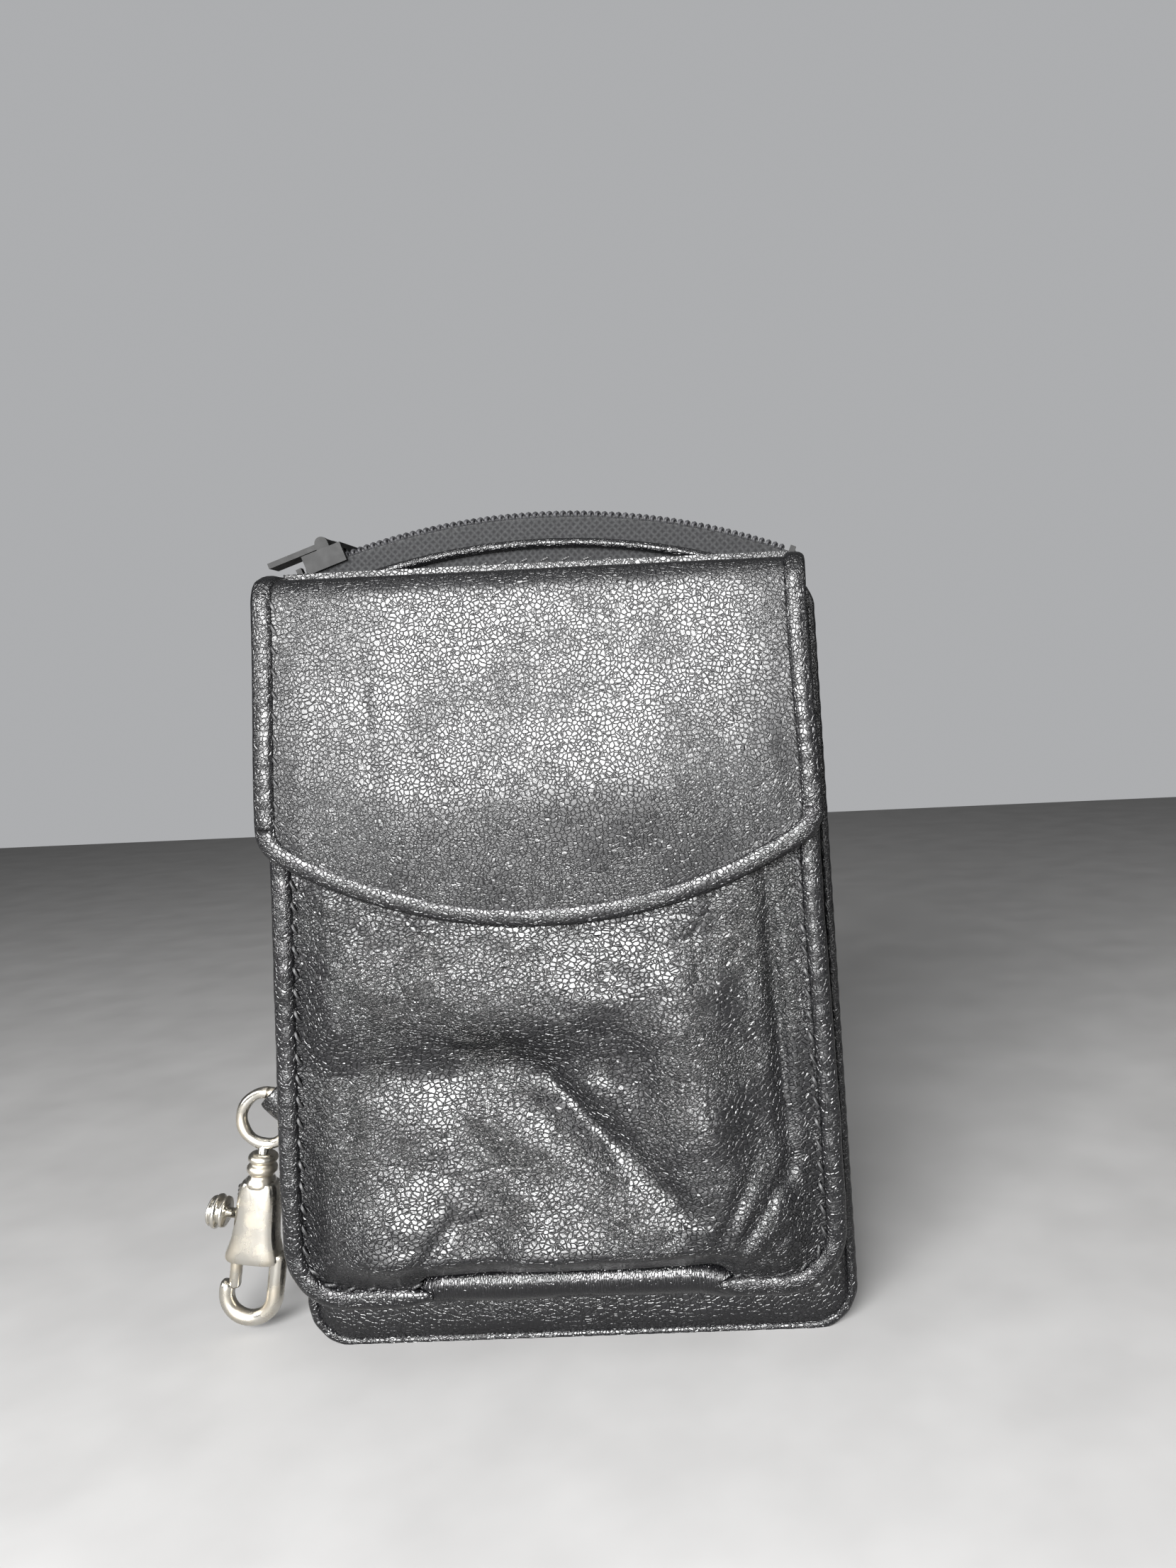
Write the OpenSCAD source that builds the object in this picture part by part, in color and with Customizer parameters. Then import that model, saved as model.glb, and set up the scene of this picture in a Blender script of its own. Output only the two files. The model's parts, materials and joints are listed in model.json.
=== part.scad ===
// Leather neck pouch wallet. A zip compartment stands behind a flap pocket, with
// a belt loop on its back and a swivel snap hook on a leather tab at its side.
// It stands upright on the origin: X to the right, Y to the back, Z up.

/* [Zip compartment] */
// Width at the bottom corners
body_w = 100; // [88:1:122]
// Width at the shoulders
shoulder_w = 95; // [84:1:114]
// Height of the zip row at the top of the arch
body_h = 150; // [128:1:180]
// Radius of the arched zip row
arch_r = 120; // [102:1:150]
// Radius of the rounded shoulders
shoulder_r = 6; // [5:0.5:12]
// Radius of the bottom corners
corner_r = 12; // [8:1:18]
// Clear room between the two linings
room_t = 6.6; // [6:0.2:14]
// Thickness of the leather
leather_t = 1.4; // [1:0.1:2]
// Thickness of the lining cloth
lining_t = 0.4; // [0.3:0.1:0.8]
// How far the piping stands out round the edge
piping_out = 0.8; // [0.4:0.1:1.5]

/* [Zip] */
// Height of zip tape that shows above the leather
tape_show = 4.4; // [3:0.2:8]
// Thickness of the zip tape
tape_t = 0.6; // [0.4:0.1:1]
// Height of the coil
coil_h = 1.5; // [1:0.1:2.5]
// Width of the coil across the mouth
coil_w = 1.2; // [0.8:0.1:1.8]
// Length of the slider
slider_l = 7.5; // [6:0.5:12]
// Length of the pull tab from its pin
pull_l = 11; // [8:0.5:20]

/* [Flap pocket] */
// Width of the pocket
pocket_w = 94; // [80:1:116]
// Height of the pocket's bottom edge above the ground
pocket_low = 13; // [6:1:20]
// Drop from the flap's fold to the pocket's mouth
mouth_drop = 15.6; // [8:0.2:22]
// Clear depth inside the pocket
pocket_room = 9.2; // [6:0.2:20]
// Radius of the pocket's bottom corners
pocket_r = 11; // [7:1:18]
// Width of the stitched turned edge
edge_w = 3.4; // [2.5:0.1:5]
// Length of the roll of leather under the pocket
roll_l = 50; // [30:1:64]

/* [Flap] */
// Width of the flap
flap_w = 95; // [80:1:118]
// Height of the fold over the pocket's mouth
fold_z = 139.6; // [118:0.2:145]
// Drop from the fold to the lowest point of the curved edge
flap_drop = 60.6; // [46:0.2:80]
// Radius of the curved edge
flap_curve_r = 85; // [70:1:140]
// Radius of the flap's two corners
flap_r = 7; // [4.5:0.5:12]
// Clearance between the closed flap and the pocket
flap_gap = 1.2; // [0.9:0.1:3]
// Distance between stitches
stitch_pitch = 3.7; // [3:0.1:6]

/* [Magnetic snap] */
// Radius of the snap's socket
snap_r = 7; // [5:0.5:9]
// Height of the snap above the flap's lowest point
snap_up = 16; // [12:1:24]

/* [Belt loop] */
// Width of the loop across the back
loop_w = 93; // [50:1:96]
// Height of the open part
loop_h = 38; // [26:1:60]
// Height of its lower seam
loop_low = 36; // [24:1:50]
// Clear gap behind the pouch for a belt
loop_gap = 6; // [5:0.2:12]

/* [Snap hook] */
// Distance of the eye's centre from the side of the pouch
hook_out = 8.6; // [8.6:0.2:20]
// Height of the eye's centre
hook_z = 41; // [41:0.5:80]
// Lean of the hook from upright, in degrees
hook_lean = 8.6; // [0:0.2:14]
// Mean radius of the eye
eye_r = 4.9; // [4.2:0.1:8]
// Radius of the eye's wire
eye_wire = 1.1; // [0.8:0.1:1.4]
// Radius of the swivel's pin
swivel_r = 1.1; // [0.8:0.05:1.2]
// Mean radius of the hook's bend
bend_r = 4.6; // [4.4:0.1:7]
// Radius of the hook's stock
stock_r = 1.5; // [1.2:0.1:1.6]
// Radius of the gate's plunger
gate_r = 1.1; // [0.8:0.05:1.2]
// Travel of the gate
gate_travel = 4; // [2:0.5:4.5]

/* [Hidden] */

// Layers from back to front, as Y of each face
comp_t = 2 * leather_t + 2 * lining_t + room_t;
back_y = comp_t / 2;
seam_y = -comp_t / 2;
pocket_back_y = seam_y - leather_t;
pocket_lining_y = pocket_back_y - pocket_room - lining_t;
pocket_front_y = pocket_lining_y - leather_t;
flap_in_y = pocket_front_y - flap_gap;
flap_leather_y = flap_in_y - lining_t - leather_t;
edge_proud = 0.6;
body_gap = 0.3;
pin_gap = 0.05;

// Heights that follow the fold, and the hook's place beside the pouch
pocket_top = fold_z - mouth_drop;
flap_low = fold_z - flap_drop;
hook_x = body_w / 2 + hook_out;

// The arch: its centre and the half angle that it spans between the shoulders
arch_z = body_h - arch_r;
panel_r = arch_r - tape_show;
arch_a = asin((shoulder_w / 2 - shoulder_r) / (panel_r - shoulder_r));
shoulder_z = arch_z + (panel_r - shoulder_r) * cos(arch_a);
mouth_half = comp_t / 2 - leather_t - coil_w;
zip_a = arch_a - 1;
slider_a = asin((slider_l / 2 + 0.6) / arch_r);
slider_rest = -(zip_a - slider_a);

// The flap's curved edge, which is an arch upside down
flap_arc_z = flap_low + flap_curve_r;
flap_a = asin((flap_w / 2 - flap_r) / (flap_curve_r - flap_r));
flap_corner_z = flap_arc_z - (flap_curve_r - flap_r) * cos(flap_a);
fold_in_z = fold_z - leather_t;
snap_z = flap_low + snap_up;

// Distances down the hook from the eye's centre
neck_top = eye_r + eye_wire + 0.5;
head_top = neck_top + 3;
head_h = 1.4;
neck_end = head_top + head_h + 1.1;
neck_r = swivel_r + 1.9;
barrel_w = 8.6;
barrel_t = 5.4;
barrel_end = neck_end + 15.2;
gate_x = -(bend_r - stock_r + 0.1);
spring_top = neck_end + 0.7;
gate_top = spring_top + gate_travel + 1;
lever_s = gate_top + 1;
bend_s = barrel_end + 6.6;
gate_end = bend_s - 0.9;
eye_tab_a = 45;
eye_swing = 38;
tab_w = 5;
tab_t = 1.1;
tab_sag = eye_r - sqrt(eye_r * eye_r - tab_w * tab_w / 4);
tab_in_r = eye_wire + tab_sag * sin(eye_swing) + 0.3;
spring_r = gate_r - 0.3;
spring_wire = 0.22;

arc_steps = 8;
function arc(cx, cz, r, from, to, steps = arc_steps) =
    [for (i = [0:steps]) let (a = from + (to - from) * i / steps) [cx + r * cos(a), cz + r * sin(a)]];

// Outline of the compartment's panels, moved in by inset all round
function panel_outline(inset) = concat(
    arc(body_w / 2 - corner_r, corner_r, corner_r - inset, -90, 0),
    arc(shoulder_w / 2 - shoulder_r, shoulder_z, shoulder_r - inset, 0, 90 - arch_a),
    arc(0, arch_z, panel_r - inset, 90 - arch_a, 90 + arch_a, 24),
    arc(-shoulder_w / 2 + shoulder_r, shoulder_z, shoulder_r - inset, 90 + arch_a, 180),
    arc(-body_w / 2 + corner_r, corner_r, corner_r - inset, 180, 270));

// Outline of the pocket, with a straight top edge
function pocket_outline(inset, top) = concat(
    arc(pocket_w / 2 - pocket_r, pocket_low + pocket_r, pocket_r - inset, -90, 0),
    [[pocket_w / 2 - inset, top], [-pocket_w / 2 + inset, top]],
    arc(-pocket_w / 2 + pocket_r, pocket_low + pocket_r, pocket_r - inset, 180, 270));

// Outline of the flap, hanging from a straight top edge
function flap_outline(inset, top) = concat(
    [[flap_w / 2 - inset, top], [-flap_w / 2 + inset, top]],
    arc(-flap_w / 2 + flap_r, flap_corner_z, flap_r - inset, 180, 270 - flap_a),
    arc(0, flap_arc_z, flap_curve_r - inset, 270 - flap_a, 270 + flap_a, 24),
    arc(flap_w / 2 - flap_r, flap_corner_z, flap_r - inset, 270 + flap_a, 360));

// A plate that stands upright, from y to y + t
module plate(y, t) translate([0, y + t, 0]) rotate([90, 0, 0]) linear_extrude(height = t) children();

// A drilling through upright plates, from y to y + t
module cross_hole(z, r, y, t) translate([0, y + t, z]) rotate([90, 0, 0]) cylinder(r = r, h = t, $fn = 48);

// A band that follows the arch, from a profile of radius and Y
module along_arch(half_angle) translate([0, 0, arch_z]) rotate([-90, 0, 0])
    rotate([0, 0, -90 - half_angle]) rotate_extrude(angle = 2 * half_angle, $fn = 180) children();

// A local frame on the zip row: X along the row, Z outwards
module on_arch(angle, out = 0) translate([0, 0, arch_z]) rotate([0, angle, 0])
    translate([0, 0, arch_r + out]) children();

// The hook's frame: its centre line runs down -Z from the eye's centre
module on_hook() translate([-hook_x, 0, hook_z]) rotate([0, hook_lean, 0]) children();

// A round piece down the hook's centre line between two distances from the eye
module down(from, to, r, x = 0) translate([x, 0, -to]) cylinder(r = r, h = to - from, $fn = 40);

// One stitch lying on a face that looks to -Y
stitch_l = 2.6;
stitch_w = 0.8;
stitch_t = 0.3;
stitch_slant = 14;
module stitch(x, z, turn, y) translate([x, y, z]) rotate([0, -turn - stitch_slant, 0])
    translate([-stitch_l / 2, -stitch_t, -stitch_w / 2]) cube([stitch_l, stitch_t, stitch_w]);

// A straight upright row and a curved row of stitches
module stitch_column(x, low, high, y) for (z = [low:stitch_pitch:high]) stitch(x, z, 90, y);
module stitch_arc(cx, cz, r, from, to, y) {
    count = max(1, floor(abs(to - from) * PI / 180 * r / stitch_pitch));
    for (i = [0.5:1:count]) {
        a = from + (to - from) * i / count;
        stitch(cx + r * cos(a), cz + r * sin(a), a + 90, y);
    }
}

module back_panel() color("#1b1b1d") plate(back_y - leather_t, leather_t) polygon(panel_outline(0));

module lining_shape() intersection() {
    polygon(panel_outline(leather_t + 0.2));
    translate([0, arch_z - 7]) circle(r = panel_r, $fn = 180);
}
module back_lining() color("#3a3a3e") plate(back_y - leather_t - lining_t, lining_t) lining_shape();
module middle_lining() color("#3a3a3e") plate(seam_y + leather_t, lining_t) lining_shape();
module middle_panel() color("#1b1b1d") plate(seam_y, leather_t) polygon(panel_outline(0));

module compartment_gusset() color("#19191b") plate(seam_y + leather_t, comp_t - 2 * leather_t)
    difference() {
        polygon(panel_outline(0));
        polygon(panel_outline(leather_t));
        translate([0, arch_z]) polygon(concat([[0, 0]], arc(0, 0, 2 * arch_r, 90 - arch_a, 90 + arch_a)));
    }

// Piping runs round the sides and the bottom of a panel's edge, but not over the arch
module piping(y) plate(y, leather_t) difference() {
    polygon(panel_outline(-piping_out));
    polygon(panel_outline(0));
    translate([0, arch_z]) polygon(concat([[0, 0]], arc(0, 0, 2 * arch_r, 90 - arch_a, 90 + arch_a)));
    translate([-body_w, -body_w]) square([2 * body_w, body_w]);
}
module back_piping() color("#222225") piping(back_y - leather_t);
module middle_piping() color("#222225") piping(seam_y);

module tape(y) along_arch(zip_a) translate([panel_r - 5, y]) square([tape_show + 5, tape_t]);
module zip_tape_front() color("#45464a") tape(seam_y + leather_t);
module zip_tape_back() color("#45464a") tape(back_y - leather_t - tape_t);
module coil(y) along_arch(zip_a) translate([arch_r, y]) square([coil_h, coil_w]);
module zip_coil_front() color("#55565a") coil(seam_y + leather_t);
module zip_coil_back() color("#55565a") coil(back_y - leather_t - coil_w);

module zip_end_stops() color("#b9b7b0") for (side = [-1, 1]) on_arch(side * (zip_a + 0.5), 0)
    for (y = [seam_y + leather_t, back_y - leather_t - coil_w]) translate([-0.5, y, 0])
        cube([1, coil_w, coil_h]);

module pocket_back() color("#1b1b1d") plate(pocket_back_y, leather_t)
    polygon(pocket_outline(0, fold_z));

module pocket_front() color("#1d1d20") difference() {
    plate(pocket_front_y, leather_t) polygon(pocket_outline(edge_w, pocket_top));
    cross_hole(snap_z, snap_r + pin_gap, pocket_front_y - 1, leather_t + 2);
}
module pocket_lining() color("#3a3a3e") difference() {
    plate(pocket_lining_y, lining_t) polygon(pocket_outline(leather_t, pocket_top));
    cross_hole(snap_z, snap_r + pin_gap, pocket_lining_y - 1, lining_t + 2);
}
module pocket_gusset() color("#19191b") plate(pocket_lining_y, pocket_back_y - pocket_lining_y)
    difference() {
        polygon(pocket_outline(0, pocket_top));
        polygon(pocket_outline(leather_t, pocket_top + 1));
    }
pocket_edge_t = leather_t + 0.4;
module pocket_edge() color("#222225") plate(pocket_lining_y - pocket_edge_t, pocket_edge_t)
    difference() {
        polygon(pocket_outline(0, pocket_top));
        polygon(pocket_outline(edge_w, pocket_top + 1));
    }

// The soft roll of gusset leather that hangs under the pocket between its two corners
roll_h = 3;
roll_y = pocket_back_y - pocket_room - lining_t;
module pocket_roll() color("#1d1d20") translate([-roll_l / 2, 0, pocket_low - roll_h]) {
    translate([0, roll_y, 0]) cube([roll_l, pocket_room / 2, roll_h]);
    translate([0, roll_y, roll_h / 2]) rotate([0, 90, 0]) cylinder(r = roll_h / 2, h = roll_l, $fn = 40);
}

module pocket_stitches() color("#0c0c0d") {
    face = pocket_lining_y - pocket_edge_t;
    for (side = [-1, 1]) {
        stitch_column(side * (pocket_w / 2 - edge_w + 0.7), pocket_low + pocket_r + 1, pocket_top - 2, face);
        stitch_arc(side * (pocket_w / 2 - pocket_r), pocket_low + pocket_r, pocket_r - edge_w + 0.7,
                   side > 0 ? 0 : 180, side > 0 ? -90 : 270, face);
    }
}

// Stitches round the back panel, lying on its outer face
module back_stitches() color("#0c0c0d") mirror([0, 1, 0]) {
    for (side = [-1, 1]) {
        x_low = body_w / 2 - 3;
        x_high = shoulder_w / 2 - 3;
        for (z = [corner_r + 2:stitch_pitch:shoulder_z - 2])
            stitch(side * (x_low + (x_high - x_low) * (z - corner_r) / (shoulder_z - corner_r)), z, 90, -back_y);
        stitch_arc(side * (body_w / 2 - corner_r), corner_r, corner_r - 3,
                   side > 0 ? 0 : 180, side > 0 ? -90 : 270, -back_y);
    }
    for (x = [-body_w / 2 + corner_r + 1:stitch_pitch:body_w / 2 - corner_r - 1]) stitch(x, 3, 0, -back_y);
}

socket_t = leather_t + lining_t + 0.2;
pin_r = 2;
module snap_socket() color("#c9c6bd") difference() {
    cross_hole(snap_z, snap_r, pocket_front_y - 0.2, socket_t);
    cross_hole(snap_z, pin_r + 0.5, pocket_front_y - 1, 2.2);
}
module snap_socket_washer() color("#b0aea6")
    cross_hole(snap_z, snap_r + 1.5, pocket_front_y - 0.2 + socket_t, 0.6);

// The loop's inner face stands off the back by a flattened bump between its two seams
seam_h = 6;
function bump(t) = loop_gap * (1 - pow(abs(2 * t - 1), 3));
function strap_line(out) = concat(
    [[back_y + out, loop_low - seam_h]],
    [for (i = [0:16]) [back_y + out + bump(i / 16), loop_low + loop_h * i / 16]],
    [[back_y + out, loop_low + loop_h + seam_h]]);
function reversed(points) = [for (i = [len(points) - 1:-1:0]) points[i]];
module strap(from, to) translate([-loop_w / 2, 0, 0]) rotate([90, 0, 90])
    linear_extrude(height = loop_w) polygon(concat(strap_line(from), reversed(strap_line(to))));
backing_t = 1.1;
module belt_loop_backing() color("#6d7268") strap(stitch_t, stitch_t + backing_t);
module belt_loop() color("#17171a") strap(stitch_t + backing_t, stitch_t + backing_t + leather_t);
module belt_loop_stitches() color("#0c0c0d") mirror([0, 1, 0])
    for (z = [loop_low - seam_h / 2, loop_low + loop_h + seam_h / 2])
        for (x = [-loop_w / 2 + 3:stitch_pitch:loop_w / 2 - 3])
            stitch(x, z, 0, -(back_y + stitch_t + backing_t + leather_t));

// The tab is a strap folded through the eye. It leaves the left seam at a slant.
tab_x = -hook_x + eye_r * sin(eye_tab_a);
tab_z = hook_z + eye_r * cos(eye_tab_a);
module clasp_tab() color("#18181a") difference() {
    translate([tab_x, 0, tab_z]) rotate([0, eye_tab_a, 0]) translate([tab_w / 2, 0, 0])
        rotate([0, -90, 0]) linear_extrude(height = tab_w) difference() {
            union() {
                translate([-tab_sag, 0]) circle(r = tab_in_r + tab_t, $fn = 40);
                translate([0, -tab_t - 0.2]) square([hook_x, 2 * tab_t + 0.4]);
            }
            translate([-tab_sag, 0]) circle(r = tab_in_r, $fn = 40);
        }
    plate(-comp_t, 2 * comp_t) polygon(panel_outline(-piping_out));
}

// The flap turns over the mouth as two stiff stretches, joined at its two bends
fold_back_y = pocket_back_y - body_gap;
fold_front_y = flap_in_y + body_gap;
module flap_fold() color("#1d1d20") translate([-flap_w / 2, fold_front_y, fold_in_z])
    cube([flap_w, fold_back_y - fold_front_y, leather_t]);

washer_r = snap_r + 1;
washer_t = 0.5;
flap_top_z = fold_in_z;
module flap_leather() color("#1d1d20") difference() {
    plate(flap_leather_y, leather_t) polygon(flap_outline(edge_w, flap_top_z));
    cross_hole(snap_z, washer_r + pin_gap, flap_leather_y + leather_t - washer_t, washer_t + 1);
}
module flap_lining() color("#3a3a3e") difference() {
    plate(flap_in_y - lining_t, lining_t) polygon(flap_outline(edge_w, flap_top_z));
    cross_hole(snap_z, 1 + pin_gap, flap_in_y - lining_t - 1, lining_t + 2);
}
module flap_edge() color("#222225") plate(flap_leather_y - edge_proud, leather_t + lining_t + edge_proud)
    difference() {
        polygon(flap_outline(0, flap_top_z));
        polygon(flap_outline(edge_w, flap_top_z + 1));
    }
module flap_stitches() color("#0c0c0d") {
    row = edge_w + 1.1;
    for (side = [-1, 1]) {
        stitch_column(side * (flap_w / 2 - row), flap_corner_z + 2, flap_top_z - 3, flap_leather_y);
        stitch_arc(side * (flap_w / 2 - flap_r), flap_corner_z, flap_r - row,
                   side > 0 ? 0 : 180, side > 0 ? -90 + flap_a : 270 - flap_a, flap_leather_y);
    }
    stitch_arc(0, flap_arc_z, flap_curve_r - row, 270 - flap_a, 270 + flap_a, flap_leather_y);
}
stud_t = 0.5;
module snap_stud() color("#c9c6bd") {
    cross_hole(snap_z, snap_r - 1, flap_in_y, stud_t);
    cross_hole(snap_z, pin_r, flap_in_y + stud_t, 1.4);
    cross_hole(snap_z, 1, flap_in_y - lining_t, lining_t);
}
module snap_stud_washer() color("#b0aea6")
    cross_hole(snap_z, washer_r, flap_leather_y + leather_t - washer_t, washer_t);

// The slider is a top plate, a post between the rows and two lips outside the tapes
plate_low = coil_h + body_gap;
plate_t = 1.1;
lip_t = 0.8;
lip_y = comp_t / 2 - leather_t + body_gap;
post_half = mouth_half - body_gap;
cheek_t = 0.8;
pull_w = 4;
pin_out = plate_low + plate_t + 1.1 + body_gap;
pull_pin_r = 0.6;
module zip_slider() color("#a9a69c") on_arch(slider_rest) {
    translate([-slider_l / 2, -lip_y - lip_t, plate_low]) cube([slider_l, 2 * (lip_y + lip_t), plate_t]);
    for (side = [-1, 1]) translate([-slider_l / 2, side * (lip_y + lip_t / 2) - lip_t / 2, -0.6])
        cube([slider_l, lip_t, plate_low + 0.6]);
    translate([-slider_l / 2, -post_half, -1]) cube([slider_l, 2 * post_half, plate_low + 1]);
    for (side = [-1, 1]) translate([0, side * (pull_w / 2 + body_gap + cheek_t / 2), 0])
        rotate([90, 0, 0]) translate([0, 0, -cheek_t / 2]) linear_extrude(height = cheek_t) {
            translate([0, pin_out]) circle(r = 1.2, $fn = 40);
            translate([-1.2, plate_low + plate_t]) square([2.4, pin_out - plate_low - plate_t]);
        }
    translate([0, pull_w / 2 + body_gap, pin_out]) rotate([90, 0, 0])
        cylinder(r = pull_pin_r, h = pull_w + 2 * body_gap, $fn = 40);
}
module zip_pull() color("#a9a69c") on_arch(slider_rest) translate([0, pull_w / 2, pin_out])
    rotate([90, 0, 0]) linear_extrude(height = pull_w) difference() {
        union() {
            circle(r = 1.1, $fn = 40);
            translate([-pull_l, -0.5]) square([pull_l, 1]);
        }
        circle(r = pull_pin_r + pin_gap, $fn = 40);
    }

// The eye: a ring, and a headed pin that turns in the hook's neck
module clasp_eye() color("#cfccc2") on_hook() {
    rotate([90, 0, 0]) rotate_extrude($fn = 60) translate([eye_r, 0]) circle(r = eye_wire, $fn = 24);
    down(eye_r, head_top + 0.1, swivel_r);
    down(head_top + 0.1, head_top + head_h - 0.2, swivel_r + 0.7);
}

// The hook: a neck with two ridges, a barrel that guides the gate, and the bend
slot_low = lever_s + 1.3;
slot_high = lever_s - gate_travel - 1.3;
module clasp_hook() color("#cfccc2") on_hook() difference() {
    union() {
        down(neck_top, neck_end, neck_r);
        for (s = [neck_top + 0.4, neck_top + 2.6]) down(s, s + 1.1, neck_r + 0.5);
        translate([-barrel_w / 2, -barrel_t / 2, -barrel_end]) cube([barrel_w, barrel_t, barrel_end - neck_end]);
        down(barrel_end, bend_s, stock_r, bend_r);
        translate([0, 0, -bend_s]) rotate([90, 0, 0]) rotate([0, 0, 180])
            rotate_extrude(angle = 180, $fn = 60) translate([bend_r, 0]) circle(r = stock_r, $fn = 24);
        down(gate_end + 0.3, bend_s, stock_r, -bend_r);
    }
    down(neck_top - 1, head_top + 0.2, swivel_r + pin_gap);
    down(head_top, head_top + head_h, swivel_r + 0.9);
    down(spring_top, barrel_end + 1, gate_r + pin_gap, gate_x);
    translate([-barrel_w, -1.2, -slot_low]) cube([barrel_w + gate_x, 2.4, slot_low - slot_high]);
}

// A small helical spring behind the plunger
spring_turns = 5;
spring_sides = 6;
ring_steps = 10;
spring_pts = [for (i = [0:spring_turns * ring_steps]) let (a = 360 * i / ring_steps)
    for (j = [0:spring_sides - 1]) let (b = 360 * j / spring_sides, r = spring_r + spring_wire * cos(b))
        [r * cos(a), r * sin(a), spring_wire * sin(b) + (gate_travel + 0.2) * i / (spring_turns * ring_steps)]];
spring_rings = spring_turns * ring_steps;
module clasp_spring() color("#8f8d86") on_hook() translate([gate_x, 0, -gate_top + 0.4])
    polyhedron(points = spring_pts, faces = concat(
        [[for (j = [0:spring_sides - 1]) j]],
        [for (i = [0:spring_rings - 1]) for (j = [0:spring_sides - 1]) let (k = (j + 1) % spring_sides)
            [i * spring_sides + j, (i + 1) * spring_sides + j, (i + 1) * spring_sides + k, i * spring_sides + k]],
        [[for (j = [spring_sides - 1:-1:0]) spring_rings * spring_sides + j]]));

// The gate: a plunger that closes the hook, with a ridged thumb knob on its side
knob_x = 8.9;
module clasp_gate() color("#cfccc2") on_hook() {
    down(gate_top, gate_end, gate_r, gate_x);
    translate([-knob_x, 0, -lever_s]) rotate([0, 90, 0]) cylinder(r = 0.9, h = knob_x + gate_x, $fn = 32);
    for (i = [0:2]) translate([-knob_x + 1.5 * i, 0, -lever_s]) rotate([0, 90, 0])
        cylinder(r = i == 1 ? 3.4 : 2.8, h = 1.1, $fn = 40);
}

back_panel();
back_lining();
compartment_gusset();
middle_panel();
middle_lining();
back_piping();
middle_piping();
zip_tape_front();
zip_tape_back();
zip_coil_front();
zip_coil_back();
zip_end_stops();
pocket_back();
pocket_front();
pocket_lining();
pocket_gusset();
pocket_edge();
pocket_roll();
pocket_stitches();
back_stitches();
snap_socket();
snap_socket_washer();
belt_loop();
belt_loop_backing();
belt_loop_stitches();
clasp_tab();
flap_fold();
flap_leather();
flap_lining();
flap_edge();
flap_stitches();
snap_stud();
snap_stud_washer();
zip_slider();
zip_pull();
clasp_eye();
clasp_hook();
clasp_spring();
clasp_gate();
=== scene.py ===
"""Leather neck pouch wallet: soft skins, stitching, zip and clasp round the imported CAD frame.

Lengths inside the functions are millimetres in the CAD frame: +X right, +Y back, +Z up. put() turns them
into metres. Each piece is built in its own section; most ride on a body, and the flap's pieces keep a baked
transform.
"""
import json
from math import asin, atan2, copysign, cos, degrees, exp, hypot, pi, radians, sin, sqrt
import random

import bmesh
import bpy
from mathutils import Matrix, Vector, noise


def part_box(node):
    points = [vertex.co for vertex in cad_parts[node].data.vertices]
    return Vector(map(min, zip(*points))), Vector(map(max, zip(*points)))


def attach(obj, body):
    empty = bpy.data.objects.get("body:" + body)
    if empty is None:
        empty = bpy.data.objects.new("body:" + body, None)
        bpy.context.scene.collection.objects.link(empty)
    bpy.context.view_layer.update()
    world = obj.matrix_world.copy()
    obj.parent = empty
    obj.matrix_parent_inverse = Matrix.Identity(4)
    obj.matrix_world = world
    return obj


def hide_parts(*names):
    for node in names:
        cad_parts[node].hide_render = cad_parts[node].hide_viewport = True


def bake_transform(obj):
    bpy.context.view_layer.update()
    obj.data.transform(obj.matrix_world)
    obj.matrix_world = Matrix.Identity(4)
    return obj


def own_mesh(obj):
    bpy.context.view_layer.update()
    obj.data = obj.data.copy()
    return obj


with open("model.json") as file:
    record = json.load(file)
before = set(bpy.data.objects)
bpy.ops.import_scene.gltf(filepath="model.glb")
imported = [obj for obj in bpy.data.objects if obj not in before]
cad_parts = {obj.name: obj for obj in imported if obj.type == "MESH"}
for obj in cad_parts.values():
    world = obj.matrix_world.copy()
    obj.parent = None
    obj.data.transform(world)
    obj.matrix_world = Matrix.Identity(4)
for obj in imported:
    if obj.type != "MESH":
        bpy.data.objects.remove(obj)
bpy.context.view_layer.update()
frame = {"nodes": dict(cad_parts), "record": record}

MM = 0.001
random.seed(7)


def mm_box(node):
    """Lowest and highest corner of a CAD node in millimetres."""
    low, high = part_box(node)
    return [c / MM for c in low], [c / MM for c in high]


# ---- sizes read from the frame
PANEL_LOW, PANEL_HIGH = mm_box("middle_panel")
BACK_HIGH = mm_box("back_panel")[1]
POCKET_LOW, POCKET_HIGH = mm_box("pocket_edge")
POCKET_BACK_LOW, POCKET_BACK_HIGH = mm_box("pocket_back")
FLAP_LOW, FLAP_HIGH = mm_box("flap_edge")
FOLD_LOW, FOLD_HIGH = mm_box("flap_fold")
LOOP_LOW, LOOP_HIGH = mm_box("belt_loop")
COIL_LOW, COIL_HIGH = mm_box("zip_coil_front")
COIL_BACK_LOW, COIL_BACK_HIGH = mm_box("zip_coil_back")
TAPE_LOW, TAPE_HIGH = mm_box("zip_tape_front")
TAPE_BACK_LOW = mm_box("zip_tape_back")[0]
JOINT = {j["name"]: j for j in frame["record"]["behaviour"]["joints"]}

ARCH_Z = JOINT["zip_travel"]["pos_m"][2] / MM
COIL_H = 1.5
ARCH_R = COIL_HIGH[2] - ARCH_Z - COIL_H
PANEL_R = PANEL_HIGH[2] - ARCH_Z
CORNER_R = 8
SHOULDER_R = 6
SHOULDER_W = 95
POCKET_R = 11
FLAP_R = 7
FLAP_CURVE_R = 85
EDGE_W = 3.4
STITCH_PITCH = 3.7
STITCH_LENGTH = 2.5
THREAD_T = 0.62
BACK_ROW_IN, MIDDLE_ROW_IN, TOP_ROW_IN = 3.1, 2.6, 3.0  # stitch rows in from the compartment's edges
LEATHER_T = 1.2
POCKET_FLARE = 0.038


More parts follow.
